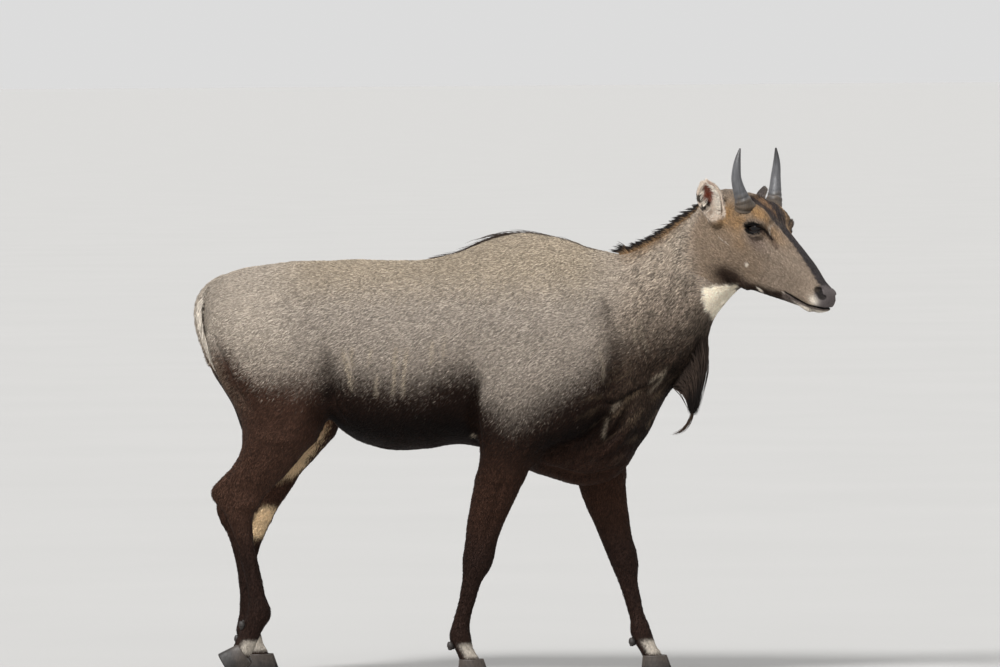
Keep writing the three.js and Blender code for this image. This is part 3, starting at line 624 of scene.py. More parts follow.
# Skin: one mesh out of the two fields
def trimmed(points, quads, offset, keep):
    """A bmesh of the part of a surface on one side of the neck's cutting plane."""
    mesh = bpy.data.meshes.new("part")
    mesh.from_pydata(points.tolist(), [], quads.tolist())
    made = bmesh.new()
    made.from_mesh(mesh)
    bpy.data.meshes.remove(mesh)
    bmesh.ops.bisect_plane(
        made, geom=made.verts[:] + made.edges[:] + made.faces[:],
        plane_co=CUT_POINT + offset * CUT_NORMAL, plane_no=CUT_NORMAL,
        clear_outer=keep < 0, clear_inner=keep > 0)
    return made


def rim_order(made, offset):
    rim = [v for v in made.verts if v.is_boundary]
    across, upright = np.array((0, 1, 0)), np.cross(CUT_NORMAL, (0, 1, 0))
    spots = np.array([v.co[:] for v in rim])
    near_plane = np.abs((spots - CUT_POINT) @ CUT_NORMAL - offset) < 1
    rim = [v for v, near in zip(rim, near_plane) if near]
    spots = spots[near_plane]
    centre = (spots.min(0) + spots.max(0)) / 2
    angle = np.arctan2((spots - centre) @ upright, (spots - centre) @ across)
    order = np.argsort(angle)
    return [rim[i].index for i in order], angle[order]


def stitched():
    body_points, body_quads = body_field().surface()
    head_points, head_quads = head_field().surface()
    body = trimmed(body_points, body_quads, -CUT_GAP, -1)
    head = trimmed(head_points, head_quads, 0, 1)
    for made in (body, head):
        keep_largest(made)
        made.verts.index_update()
    body_rim, body_angle = rim_order(body, -CUT_GAP)
    head_rim, head_angle = rim_order(head, 0)
    points = [np.array([v.co[:] for v in made.verts]) for made in (body, head)]
    faces = [[[v.index for v in f.verts] for f in made.faces] for made in (body, head)]
    count = len(points[0])
    joined = faces[0] + [[i + count for i in face] for face in faces[1]]
    joined += zipped(body_rim, body_angle, [i + count for i in head_rim], head_angle)
    body.free()
    head.free()
    return np.concatenate(points), joined


def keep_largest(made):
    """Takes away any loose scrap of surface."""
    left, groups = set(made.verts), []
    while left:
        stack, group = [next(iter(left))], set()
        while stack:
            vert = stack.pop()
            if vert in group:
                continue
            group.add(vert)
            stack.extend(e.other_vert(vert) for e in vert.link_edges)
        groups.append(group)
        left -= group
    groups.sort(key=len)
    for group in groups[:-1]:
        bmesh.ops.delete(made, geom=list(group), context="VERTS")


def zipped(first, first_angle, second, second_angle):
    """Triangles between two loops that are both in order of angle."""
    faces, i, j = [], 0, 0
    while i < len(first) or j < len(second):
        next_first = first_angle[i + 1] if i + 1 < len(first) else first_angle[0] + 2 * math.pi
        next_second = second_angle[j + 1] if j + 1 < len(second) else second_angle[0] + 2 * math.pi
        a, b = first[i % len(first)], second[j % len(second)]
        if j >= len(second) or (i < len(first) and next_first < next_second):
            faces.append([first[(i + 1) % len(first)], b, a])
            i += 1
        else:
            faces.append([second[(j + 1) % len(second)], b, a])
            j += 1
    return faces


class Surface:
    """Points and faces as arrays, with normals and neighbours."""

    def __init__(self, points, faces):
        self.points = np.asarray(points, float)
        self.faces = faces
        self.triangles = np.array([
            (f[0], f[i], f[i + 1]) for f in faces for i in range(1, len(f) - 1)])
        ends = np.concatenate([self.triangles[:, [0, 1]], self.triangles[:, [1, 2]],
                               self.triangles[:, [2, 0]]])
        self.ends = np.concatenate([ends, ends[:, ::-1]])
        self.degree = np.bincount(self.ends[:, 0], minlength=len(self.points))

    def average(self, values):
        total = [np.bincount(self.ends[:, 0], values[self.ends[:, 1], i], len(self.points))
                 for i in range(values.shape[1])]
        return np.stack(total, axis=1) / np.maximum(self.degree, 1)[:, None]

    def smooth(self, rounds, weight):
        for _ in range(rounds):
            moved = self.average(self.points) - self.points
            self.points += np.asarray(weight)[..., None] * moved

    def corner_normals(self):
        a, b, c = (self.points[self.triangles[:, i]] for i in range(3))
        return np.cross(b - a, c - a)

    def normals(self):
        faces = self.corner_normals()
        total = np.zeros_like(self.points)
        for axis in range(3):
            for corner in range(3):
                total[:, axis] += np.bincount(
                    self.triangles[:, corner], faces[:, axis], len(self.points))
        return unit(total)


def skin_surface():
    points, faces = stitched()
    skin = Surface(points, faces)
    if np.einsum("ij,ij->", skin.corner_normals(), skin.points[skin.triangles[:, 0]]) < 0:
        skin = Surface(points, [face[::-1] for face in faces])
    on_head = rise(-20, 12, (skin.points - CUT_POINT) @ CUT_NORMAL)
    skin.smooth(5, 0.5 * (1 - on_head))
    skin.smooth(2, 0.35 * on_head)
    return skin


# Creases and ridges in the hide: side, points (x, z) along it, width, depth (a ridge if negative)
CREASES = {
    "elbow": (NEAR, [(192, 890), (172, 830), (162, 765), (163, 700), (168, 650)], 12, 20),
    "elbow_second": (NEAR, [(147, 876), (146, 800), (149, 727)], 8, 4.5),
    "elbow_far": (FAR, [(200, 884), (196, 838), (214, 770), (246, 710)], 11, 12),
    "arm_front": (NEAR, [(566, 790), (520, 730), (470, 690), (400, 664), (315, 630)], 15, 15),
    "thigh": (NEAR, [(-590, 1000), (-581, 960), (-549, 900), (-530, 849), (-500, 800),
                     (-468, 770)], 11, 9),
    "thigh_far": (FAR, [(-605, 1020), (-600, 955), (-572, 880), (-536, 820), (-500, 780)], 12, 9),
    "thigh_ridge": (NEAR, [(-608, 950), (-574, 880), (-530, 806)], 13, -5),
    "flank": (NEAR, [(-262, 960), (-250, 890), (-246, 830), (-262, 765)], 24, 13),
    "flank_far": (FAR, [(-262, 980), (-252, 880), (-262, 800), (-280, 750)], 26, 11),
    "stifle": (NEAR, [(-300, 900), (-320, 830), (-330, 760), (-350, 700)], 26, -6),
    "hamstring": (NEAR, [(-500, 720), (-530, 650), (-560, 596), (-584, 550)], 10, 8),
    "hamstring_far": (FAR, [(-552, 690), (-575, 620), (-598, 560), (-616, 510)], 10, 8),
    "gaskin": (NEAR, [(-430, 700), (-462, 640), (-505, 590)], 14, 4),
    "hock": (NEAR, [(-560, 560), (-560, 520), (-545, 480)], 9, 5),
    "hock_far": (FAR, [(-590, 510), (-590, 470), (-575, 430)], 9, 5),
    "cannon_groove": (NEAR, [(-544, 450), (-526, 380), (-512, 300), (-500, 240)], 6, 3.5),
    "cannon_groove_far": (FAR, [(-590, 400), (-570, 330), (-565, 260), (-560, 190)], 6, 3.5),
    "shoulder_front": (NEAR, [(512, 1120), (540, 1030), (558, 950), (558, 869), (520, 790)], 24, 13),
    "shoulder_front_far": (FAR, [(500, 1140), (560, 1030), (588, 930), (596, 840)], 26, 11),
    "blade_back": (NEAR, [(200, 1120), (176, 1030), (176, 950), (190, 890)], 24, 5),
    "blade_back_far": (FAR, [(210, 1120), (190, 1030), (190, 950), (200, 884)], 24, 5),
    "blade_spine": (NEAR, [(270, 1160), (330, 1060), (396, 950), (440, 880)], 28, -6),
    "arm_swell": (NEAR, [(300, 900), (340, 830), (330, 760)], 44, -7),
    "throat": (NEAR, [(842, 1034), (790, 956), (720, 880), (650, 820), (590, 770)], 20, 7),
    "throat_far": (FAR, [(842, 1034), (790, 956), (720, 880), (650, 820), (590, 770)], 20, 7),
    "neck_lower": (NEAR, [(780, 1010), (712, 930), (640, 870), (590, 850)], 18, 4),
    "brisket": (NEAR, [(330, 622), (400, 594), (470, 582), (545, 600), (585, 640)], 11, 14),
    "brisket_far": (FAR, [(330, 622), (400, 594), (470, 582), (545, 600)], 10, 6),
    "breast_fold": (NEAR, [(500, 668), (545, 700), (585, 760), (605, 820)], 12, 13),
    "breast_ridge": (NEAR, [(470, 640), (530, 660), (580, 710), (610, 770)], 13, -9),
    "breast_upper": (NEAR, [(520, 800), (560, 790), (610, 820), (660, 850)], 10, 9),
    "neck_fold": (NEAR, [(640, 1215), (664, 1140), (668, 1060)], 16, 3.5),
    "neck_fold_second": (NEAR, [(590, 1160), (606, 1080), (600, 1010)], 18, 4),
    "forearm": (NEAR, [(246, 600), (222, 520), (196, 440), (180, 400)], 11, 5),
    "forearm_far": (FAR, [(490, 600), (500, 520), (520, 450), (534, 410)], 11, 5),
    "cannon_fore": (NEAR, [(128, 320), (118, 260), (106, 190)], 6, 3.5),
    "cannon_fore_far": (FAR, [(540, 320), (556, 260), (570, 190)], 6, 3.5),
}
# Small wrinkles of loose skin in front of the thigh, and where they lie: x and z from top to
# bottom, width, depth
WRINKLED_LOW, WRINKLED_HIGH = (-300, 700), (0, 1000)
WRINKLES = [
    ([(-209, 966), (-184, 869), (-178, 826)], 7, -5), ([(-196, 950), (-172, 860), (-166, 812)], 7, 5),
    ([(-175, 962), (-170, 880)], 6, -3), ([(-48, 960), (-53, 890), (-62, 812)], 7, -3),
    ([(-16, 960), (-24, 890), (-34, 805)], 7, -3), ([(-105, 884), (-108, 812)], 7, -2.5),
    ([(-228, 860), (-214, 800), (-200, 760)], 9, 6), ([(-256, 840), (-236, 776), (-206, 730)], 9, 6),
]


def distance_to_line(spots, line):
    """How far each spot is from a line of points, and how far along it that is, as a share."""
    line = np.asarray(line, float)
    best = np.full(len(spots), 1e9)
    share = np.zeros(len(spots))
    lengths = np.linalg.norm(np.diff(line, axis=0), axis=1)
    done = 0.0
    for start, end, length in zip(line, line[1:], lengths):
        way = (end - start) / length
        along = np.clip((spots - start) @ way, 0, length)
        away = np.linalg.norm(spots - start - along[:, None] * way, axis=1)
        closer = away < best
        best = np.where(closer, away, best)
        share = np.where(closer, (done + along) / lengths.sum(), share)
        done += length
    return best, share


def soft_line(flat, line, width, steep, least=0.0, finer=6):
    """How strongly a smooth line on the hide shows at each spot, fading toward its ends."""
    away, share = distance_to_line(flat, smooth_rows(line, finer * len(line)))
    ends = np.minimum(1, steep * np.minimum(share, 1 - share) + least)
    return np.exp(-(away / width) ** 2) * ends


def crease_depth(points, normals):
    total = np.zeros(len(points))
    flat = points[:, [0, 2]]
    for side, line, width, depth in CREASES.values():
        curve = smooth_rows(line, 6 * len(line))
        low, high = curve.min(0) - 3 * width, curve.max(0) + 3 * width
        close = np.all((flat > low) & (flat < high), axis=1) & (points[:, 1] * side > 18)
        facing = rise(0.0, 0.5, normals[close, 1] * side)
        total[close] += depth * soft_line(flat[close], line, width, 4, 0.15) * facing
    close = np.all((flat > WRINKLED_LOW) & (flat < WRINKLED_HIGH), axis=1)
    for line, width, depth in WRINKLES:
        total[close] += depth * soft_line(flat[close], line, width, 4)
    return total


RIBS = {"first": -40, "last": 150, "step": 38, "top": 1060, "bottom": 780, "depth": 1.6}


def rib_depth(points):
    wave = 0.5 + 0.5 * np.cos(2 * math.pi * (points[:, 0] + 0.12 * points[:, 2]) / RIBS["step"])
    across = rise(RIBS["first"] - 90, RIBS["first"], points[:, 0])
    across *= fall(RIBS["last"] - 60, RIBS["last"], points[:, 0])
    height = rise(RIBS["bottom"] - 40, RIBS["bottom"] + 60, points[:, 2])
    height *= fall(RIBS["top"] - 120, RIBS["top"], points[:, 2])
    return RIBS["depth"] * wave * across * height * (np.abs(points[:, 1]) > 120)


def sculpt(skin):
    """Cuts the creases and ribs into the skin, with a slight unevenness."""
    normals = skin.normals()
    depth = crease_depth(skin.points, normals) + rib_depth(skin.points)
    depth += 0.9 * noise3(skin.points, 120, 5) * (1 - on_the_head(skin.points))
    skin.points -= normals * depth[:, None]
    skin.smooth(1, 0.4 * (1 - on_the_head(skin.points)))


def on_the_head(points):
    return rise(-10, 60, (points - CUT_POINT) @ CUT_NORMAL)


# Markings: one function gives the hide's colour at any place, for the skin and for the coat
def colour(red, green, blue):
    """A plain sRGB colour as linear light."""
    values = np.array((red, green, blue)) / 255
    return np.where(values > 0.04045, ((values + 0.055) / 1.055) ** 2.4, values / 12.92)


GREY = colour(166, 155, 143)
# Pale grey for the painted highlight along the top of the back, and for the pale lines (painted
# highlights on ridges and pale streaks of hair)
PALE_HAIR_AND_HIGHLIGHT_GREY = colour(174, 160, 141)
RUMP_GREY = colour(184, 172, 158)
NECK_GREY = colour(180, 165, 148)
NECK_DARK = colour(66, 53, 44)
THROAT_WHITE = colour(255, 243, 222)
BROWN = colour(84, 67, 56)
THIGH_BROWN = colour(114, 97, 83)
DARK = colour(35, 21, 14)
# Near black for painted shade where the hide faces down
UNDERSIDE_SHADE = colour(15, 8, 6)
LEG_DARK = colour(64, 43, 33)
GASKIN_BROWN = colour(78, 55, 44)
LOWER_LEG = colour(48, 33, 27)
CHEST_TAN = colour(112, 96, 78)
WHITE = colour(224, 214, 200)
CREAM = colour(240, 211, 170)
SKIN_PINK = colour(176, 134, 100)
FACE = colour(138, 123, 108)
FACE_TAN = colour(152, 119, 80)
FACE_CHEEK = colour(132, 115, 98)
FACE_HOLLOW = colour(116, 99, 90)
LID_GREY = colour(112, 98, 86)
BRIDGE = colour(47, 44, 47)
FOREHEAD_TAN = colour(128, 98, 72)
MUZZLE = colour(90, 83, 82)
LIP_GREY = colour(96, 86, 80)
BLACK = colour(14, 11, 11)
EAR_GREY = colour(92, 84, 80)
EAR_INSIDE = colour(204, 188, 172)
CANAL = colour(108, 42, 20)

# Where the pale upper side gives way to the dark one: x, z and half the width of the change
DARK_LINE = [
    (-660, 930, 40), (-598, 925, 45), (-555, 944, 45), (-512, 918, 50), (-463, 885, 55),
    (-396, 869, 62), (-324, 862, 68), (-250, 880, 70), (-195, 882, 72), (-88, 870, 75),
    (21, 862, 78), (107, 888, 72), (166, 884, 66), (188, 808, 68), (216, 782, 80), (280, 768, 88),
    (352, 806, 92), (395, 832, 92), (453, 864, 90), (496, 892, 88), (539, 930, 88),
    (597, 975, 92), (654, 996, 100), (712, 1008, 104), (770, 1026, 104), (813, 1050, 100),
    (900, 1100, 90),
]
THIGH_GROOVE = [(760, -462), (778, -468), (849, -535), (963, -581), (1030, -600)]  # z, x
THROAT_PATCH = [(806, 1112), (840, 1122), (908, 1128), (886, 1094), (852, 1060), (826, 1026),
                (812, 1060)]
# Fine pale lines down the flank, the neck and the breast; those on the ridges of the flank's wrinkles and
# of the breast are painted highlights, the rest pale streaks of hair: x and z from top to bottom, half
# width, strength
PALE_LINES = [
    ([(-209, 966), (-184, 869), (-178, 826)], 4.5, 0.95), ([(-175, 962), (-178, 898)], 4.5, 0.9),
    ([(-48, 976), (-53, 890), (-62, 812)], 4.5, 0.9), ([(-16, 969), (-24, 890), (-34, 805)], 4.5, 0.9),
    ([(-105, 884), (-108, 812)], 4.5, 0.8), ([(56, 980), (50, 900)], 4, 0.7),
    ([(90, 1000), (84, 920)], 4, 0.6), ([(-120, 960), (-128, 900)], 4, 0.6),
    ([(668, 1180), (676, 1130)], 4, 0.6), ([(608, 1040), (622, 960)], 4, 0.5),
    ([(628, 1050), (640, 980), (652, 930)], 4, 0.5), ([(700, 900), (680, 860), (640, 820)], 4, 0.5),
    ([(512, 960), (530, 900), (528, 850)], 4, 0.4), ([(151, 712), (153, 696)], 5, 0.8),
    ([(540, 762), (528, 725), (522, 690)], 5, 0.5), ([(578, 802), (556, 786), (546, 768)], 6, 0.5),
    ([(692, 882), (668, 868), (648, 850)], 5, 0.6),
]


def near_spot(local, centre, radii):
    """1 at the middle of a spot given in a frame, 0 from its edge on."""
    away = np.linalg.norm((local - np.asarray(centre)) / np.asarray(radii), axis=1)
    return fall(0.6, 1.15, away)


def soft_spot(local, centre, radii):
    """1 at the middle of a spot given in a frame, fading gently outward."""
    away = (local - np.asarray(centre)) / np.asarray(radii)
    return np.exp(-1.2 * np.sum(away**2, axis=1))


def inside_outline(spots, outline, soft):
    outline = np.asarray(outline, float)
    inside = np.zeros(len(spots), bool)
    for (ax, az), (bx, bz) in zip(outline, np.roll(outline, -1, axis=0)):
        crosses = (az > spots[:, 1]) != (bz > spots[:, 1])
        edge = ax + (spots[:, 1] - az) * (bx - ax) / (bz - az if bz != az else 1e-9)
        inside ^= crosses & (spots[:, 0] < edge)
    away, _ = distance_to_line(spots, np.vstack([outline, outline[:1]]))
    return rise(-soft, soft, np.where(inside, away, -away))


def painted(shade, *coats):
    """A shade under coats of colour, each with the share of it that shows."""
    for tint, share in coats:
        shade = mixed(shade, tint, share)
    return shade


def body_colour(points, normals):
    """Trunk, neck and legs: grey above with a painted highlight along the top of the back, and dark brown
    to black below a soft line, with painted shade where the hide faces down.
    """
    x, y, z = points.T
    wander = noise3(points, 230, 3) * 9 + noise3(points, 50, 4) * 4
    table = np.array(DARK_LINE)
    line, reach = sampled(x, table[:, 0], table[:, 1:]).T
    height = (z + wander - line) / reach
    low = fall(-1, 1, height)
    neck = rise(470, 640, x)
    nape = rise(520, 640, x) * rise(0.5, 0.9, normals[:, 2]) * rise(1150, 1230, z)
    dark = painted(
        DARK,
        (LEG_DARK, fall(-330, -250, x)),
        (NECK_DARK, rise(500, 620, x) * rise(650, 800, z)),
        # painted shade: near black where the hide faces down, forward of the hind legs
        (UNDERSIDE_SHADE, rise(0.2, 0.8, -normals[:, 2]) * rise(-300, -240, x)),
    )
    groove = np.interp(z, *np.array(THIGH_GROOVE).T)
    behind = fall(-14, 10, x - groove) * rise(720, 800, z) * fall(960, 1010, z)
    gaskin = fall(-360, -280, x) * fall(730, 860, z)
    crest = fall(7, 17, np.abs(y)) * rise(30, 90, x) * fall(470, 540, x) * (z > 1150)
    shade = painted(
        GREY,
        # painted highlight: lighter along the top of the back, where the light from above falls
        (PALE_HAIR_AND_HIGHLIGHT_GREY, rise(1040, 1190, z) * fall(430, 600, x)),
        (RUMP_GREY, fall(-480, -280, x)),
        (NECK_GREY, 0.8 * neck),
        (FACE_TAN, 0.75 * nape),
        (BROWN, (0.12 + 0.3 * neck) * fall(0.2, 2.4, height)),
        (dark, low),
        (THIGH_BROWN, 0.75 * behind * rise(0.2, 0.8, low)),
        (LEG_DARK, fall(560, 720, z)),
        (GASKIN_BROWN, gaskin * rise(-0.2, 0.5, np.sign(y) * normals[:, 1])),
        (LOWER_LEG, fall(340, 500, z)),
        (HAIR_BLACK, 0.7 * crest),
    )
    return leg_marks(points, normals, tail_colour(points, shade))


def tail_colour(points, shade):
    """A white strip down each side of the tail, with a painted shadow as a dark line on the rump in front
    of it.
    """
    x, y, z = points.T
    line = np.array(TAIL_LINE)[:0:-1]
    ahead = x - np.interp(z, line[:, 2], line[:, 0])
    here = rise(880, 896, z) * fall(1100, 1120, z) * (np.abs(y) < 34) * (x < -590)
    white = rise(-7, -3, ahead) * fall(5, 8, ahead) * rise(5, 9, np.abs(y))
    # painted shadow: the tail's shade on the rump just in front of it
    dark = rise(8, 11, ahead) * fall(17, 24, ahead)
    return painted(shade, (WHITE, 0.8 * white * here), (DARK, 0.8 * dark * here))


SHADED_DEPTH = 9  # creases from this depth on hold a shade


def fine_marks(points, shade):
    """Fine pale lines, partly painted highlights on ridges and partly pale hair, painted shade in deep
    creases, and the streaks of the breast.
    """
    flat = points[:, [0, 2]]
    for side, line, width, depth in CREASES.values():
        if depth >= SHADED_DEPTH:
            mark = soft_line(flat, line, 0.75 * width, 5, finer=3)
            shade = mixed(shade, DARK, 0.5 * mark * (points[:, 1] * side > 30))
    # pale lines: painted highlights on the ridges of wrinkles and folds, and pale streaks of hair
    for line, half, strength in PALE_LINES:
        mark = soft_line(flat, line, half, 5) * (np.abs(points[:, 1]) > 50)
        shade = mixed(shade, PALE_HAIR_AND_HIGHLIGHT_GREY, strength * mark)
    x, y, z = points.T
    along, across = 0.82 * x + 0.57 * z, -0.57 * x + 0.82 * z
    streak = noise3(np.stack([0.16 * along, across, 0.4 * y], axis=1), 26, 21)
    where = np.exp(-((x - 620) / 110) ** 2 - ((z - 775) / 95) ** 2)
    shade = mixed(shade, CHEST_TAN, 0.75 * rise(0.2, 1.1, streak) * where)
    hanging = noise3(points * (1, 1, 0.2), 24, 27)
    neck = rise(540, 620, x) * (1 - on_the_head(points)) * rise(800, 900, z)
    shade = shade * (1 + 0.2 * hanging * neck)[:, None]
    fold = np.exp(-((x - 500) / 110) ** 2 - ((z - 632) / 30) ** 2)
    return mixed(shade, BROWN, 0.5 * rise(0, 1, streak) * fold)


def leg_marks(points, normals, shade):
    """The cream strips inside the hind legs, the bare groin and the white marks over the hooves."""
    x, y, z = points.T
    inner = rise(0.05, 0.5, -np.sign(y) * normals[:, 1]) * rise(20, 50, np.abs(y))
    hind = fall(-250, -200, x)
    wander = noise3(points, 40, 19) * 6
    front = np.interp(z, (560, 640, 700, 760), (-408, -342, -304, -290))
    ahead = rise(-64, -50, x - front + wander) * fall(-20, -8, x - front + wander)
    strip = inner * hind * rise(556, 600, z + wander) * fall(735, 770, z) * ahead
    groin = hind * rise(690, 730, z) * fall(775, 800, z) * fall(60, 100, np.abs(y))
    front = np.interp(z, (380, 415, 450, 476, 505), (-512, -496, -482, -468, -450))
    patch = inner * hind * rise(388, 408, z + wander) * fall(478, 500, z + wander)
    anklet = rise(66, 78, z) * fall(104, 118, z)
    anklet = np.where(x < -300, rise(70, 84, z) * fall(110, 124, z), anklet)
    return painted(
        shade,
        (CREAM, 0.9 * strip),
        (SKIN_PINK, 0.75 * groin),
        (CREAM, 0.95 * patch * rise(-62, -44, x - front + wander)),
        (WHITE, 0.75 * anklet * rise(-0.5, 0.3, normals[:, 0])),
    )


# Markings of the face, in the head's frame with the side taken as positive
TAN_SPOTS = [
    ((84, 74, -24), (40, 50, 38), 1.0), ((160, 60, 44), (60, 40, 22), 0.9),
    ((134, 78, -12), (30, 60, 34), 0.75), ((228, 42, 20), (56, 34, 20), 0.5),
    ((168, 72, -52), (36, 50, 26), 0.3),
]
PALE_SPOTS = [
    ((215, 56, -100), (5.5, 40, 9), 0.9), ((278, 24, -141), (12, 34, 6), 0.95),
    ((357, 30, -93), (13, 22, 4.5), 0.55),
]
LIP_PALE = ((446, 36, -41), (15, 22, 13))
TEAR_LINE = [(199, 22), (216, 12), (234, 6), (263, -1)]  # forward, up
TEAR_STREAK = [(205, 28), (211, 22), (219, 14)]
CHEEK_SCAR = [(108, -88), (122, -86), (142, -84)]
# The dark marks of the forehead: forward, their middle, how far each stripe lies from it, its half width
STRIPES = [(84, -4, 33, 17), (131, -2, 32, 17), (156, 9, 23, 15), (189, 12, 12, 14), (216, 10, 0, 18),
           (260, 7, 0, 20), (310, 2, 0, 18), (450, 0, 0, 19)]


def beside(spots, line, width):
    """1 on a line drawn on the side of the head, 0 from a width away."""
    away, _ = distance_to_line(spots[:, [0, 2]], line)
    return fall(0.5 * width, 1.2 * width, away) * rise(20, 34, spots[:, 1])


def head_colour(points):
    """The face: tan round the eye, dark jaw and muzzle, white chin, small pale spots, and painted shade
    in the mouth's slit and the nostrils.
    """
    local = to_head(points)
    forward, side, up = local.T
    spots = together(forward, np.abs(side), up)
    wander = noise3(points, 60, 8) * 4
    table = np.array(HEAD)
    crown, jaw_edge = sampled(forward, table[:, 0], table[:, 1:3]).T
    tan = [(FACE_TAN, strength * soft_spot(spots + wander[:, None], centre, radii))
           for centre, radii, strength in TAN_SPOTS]
    shade = painted(
        FACE,
        (FACE_CHEEK, rise(20, 80, -up + wander) * fall(230, 310, forward)),
        *tan,
        (FACE_HOLLOW, 0.7 * soft_spot(spots, (206, 66, -22), (40, 60, 22))),
    )
    shade = eye_ring_colour(spots, shade)
    jaw = rise(0.05, 0.75, soft_spot(spots, (202, 50, -170), (70, 90, 37)))
    edge = fall(14, 38, up - jaw_edge + wander) * rise(150, 190, forward)
    jaw = np.maximum(jaw, edge * fall(386, 404, forward))
    shade = mixed(shade, DARK, 0.94 * jaw)
    shade = forehead_colour(points, local, up - crown, shade)
    start = np.interp(up, (-60, -35, -11, 10), (462, 444, 430, 436))
    pale = [(WHITE, strength * near_spot(spots, centre, radii))
            for centre, radii, strength in PALE_SPOTS]
    below = mouth_height(forward) - up
    # painted shade: the nostrils painted black over their hollows and a little beyond
    holes = [(BLACK, near_spot(spots, centre, np.array(radii) + (2.5, 4, 2)))
             for centre, radii in NOSTRIL]
    return painted(
        shade,
        (BROWN, 0.65 * beside(spots, TEAR_LINE, 8)),
        (BLACK, 0.9 * beside(spots, TEAR_LINE[:3], 4.5)),
        (WHITE, 0.3 * beside(spots, TEAR_STREAK, 1.2) * (side < 0)),
        (WHITE, 0.4 * beside(spots, CHEEK_SCAR, 1.6)),
        (MUZZLE, rise(-6, 6, forward - start)),
        (WHITE, 0.9 * soft_spot(spots, *LIP_PALE)),
        *pale,
        (LIP_GREY, rise(342, 356, forward) * rise(0, 3, below)),
        (WHITE, 0.75 * rise(372, 410, forward) * rise(6, 13, below)),
        # painted shade: black along the slit between the lips
        (BLACK, 0.9 * fall(2.4, 4.6, np.abs(below)) * rise(343, 352, forward)),
        *holes,
    )


def forehead_colour(points, local, height, shade):
    """Two dark stripes from the horns that meet in the dark bridge of the nose."""
    forward, side, _ = local.T
    table = np.array(STRIPES)
    middle, apart, half = sampled(forward, table[:, 0], table[:, 1:]).T
    ragged = noise3(points * (0.7, 1.4, 1), 20, 18) * 3
    offset = np.abs(side - middle) + ragged
    top = rise(-20, -6, height) * rise(76, 96, forward)
    between = fall(-4, 4, offset - apart) * fall(168, 194, forward)
    stripe = fall(-3.5, 4.5, np.abs(offset - apart) - half)
    stripe = np.maximum(stripe, 0.8 * between * rise(0.1, 0.7, noise3(points, 16, 25)))
    worn = 0.3 * rise(0, 0.9, noise3(points, 14, 26)) * fall(190, 230, forward)
    far_brow = rise(middle + apart + half, middle + apart + half + 14, side)
    mottle = np.clip(0.66 + 0.3 * noise3(points, 12, 24), 0, 1)
    return painted(
        shade,
        (FOREHEAD_TAN, 0.85 * between * top),
        (BRIDGE, (0.94 - worn) * stripe * top),
        (BRIDGE, mottle * far_brow * top * fall(200, 230, forward)),
    )


def eye_ring_colour(spots, shade):
    """Bare black skin round the eye, and the paler fold of the upper lid over it."""
    along, out, up = ((spots - EYE) @ eye_axes(FAR).T).T
    outside = rise(0, 8, out)
    fold = fall(0.8, 1.05, np.hypot(along / 34, (up - 3) / 24)) * rise(4, 12, up)
    ring = fall(0.92, 1.12, np.hypot(along / 30, (up - 0.5) / 18))
    return painted(shade, (LID_GREY, 0.7 * fold * outside), (BLACK, ring * outside))


# Marks inside an ear: up it, across it, and any depth
EAR_CANAL = [((98, 6, 0), (23, 19, 60)), ((74, -6, 0), (20, 15, 60))]
EAR_BLACK = [((84, -28, 0), (14, 12, 60)), ((60, -10, 0), (12, 9, 60)), ((54, -26, 0), (10, 10, 60))]


def head_side(points):
    return np.where(to_head(points)[:, 1] > 0, FAR, NEAR)


def ear_share(points):
    """How far up the ear, how far across it, and how deep in its cup each point is."""
    local, side = to_head(points), head_side(points)
    result = np.zeros((len(points), 3))
    for which in (NEAR, FAR):
        start, *axes = ear_frame(which)
        result = np.where((side == which)[:, None], (local - start) @ np.stack(axes).T, result)
    return result


def ear_reach(points):
    """How far up its ear each point is, as a share of the ear's length."""
    return ear_share(points)[:, 0] / np.where(head_side(points) == FAR, EAR_LENGTH[FAR], EAR_LENGTH[NEAR])


def is_ear(points):
    place = ear_share(points)
    share = ear_reach(points)
    steps = np.linspace(0, 1, len(EAR_WIDTH))
    wide = np.abs(place[:, 1]) < np.interp(share, steps, EAR_WIDTH) + 5
    deep = np.abs(place[:, 2]) < np.interp(share, steps, EAR_DEPTH) + 5
    return wide & deep & (share > 0.04) & (share < 1.07)


def ear_colour(points, normals, shade):
    """Ears grey outside and white at the tip, pale inside with a red-brown canal and black marks; the far
    ear is kept grey inside and at its tip as painted shade.
    """
    place = ear_share(points)
    local_normals = normals @ HEAD_AXES.T
    side = head_side(points)
    faces = local_normals @ EAR_FACE - (1 - side) * local_normals[:, 1] * EAR_FACE[1]
    ear = is_ear(points).astype(float)
    inside = ear * rise(0.0, 0.35, faces) * rise(4, 16, place[:, 0])
    # painted shade: the far ear's cup is left mostly grey
    inside = inside * np.where(side == NEAR, 1, 0.15)
    marks = [(tint, 0.9 * near_spot(place, centre, radii) * inside)
             for tint, spots in ((CANAL, EAR_CANAL), (BLACK, EAR_BLACK)) for centre, radii in spots]
    return painted(
        shade,
        (EAR_GREY, ear * rise(14, 40, place[:, 0])),
        # painted shade: only the near ear gets its white tip
        (WHITE, 0.7 * ear * rise(0.78, 0.92, ear_reach(points)) * (side == NEAR)),
        (EAR_INSIDE, inside),
        *marks,
    )


def hide_colour(points, normals):
    """The hide's colour anywhere: body, head, ears and the white patch of the throat."""
    local = to_head(points)
    face = rise(-30, 20, local[:, 0] - 0.25 * (-local[:, 2] - 60)) * (local[:, 2] > -205)
    shade = mixed(body_colour(points, normals), head_colour(points), on_the_head(points) * face)
    shade = ear_colour(points, normals, shade)
    ragged = np.stack([noise3(points, 26, 15), noise3(points, 26, 16)], axis=1) * 4
    patch = inside_outline(points[:, [0, 2]] + ragged, THROAT_PATCH, 6)
    return mixed(shade, THROAT_WHITE, patch * fall(1120, 1135, points[:, 2]))


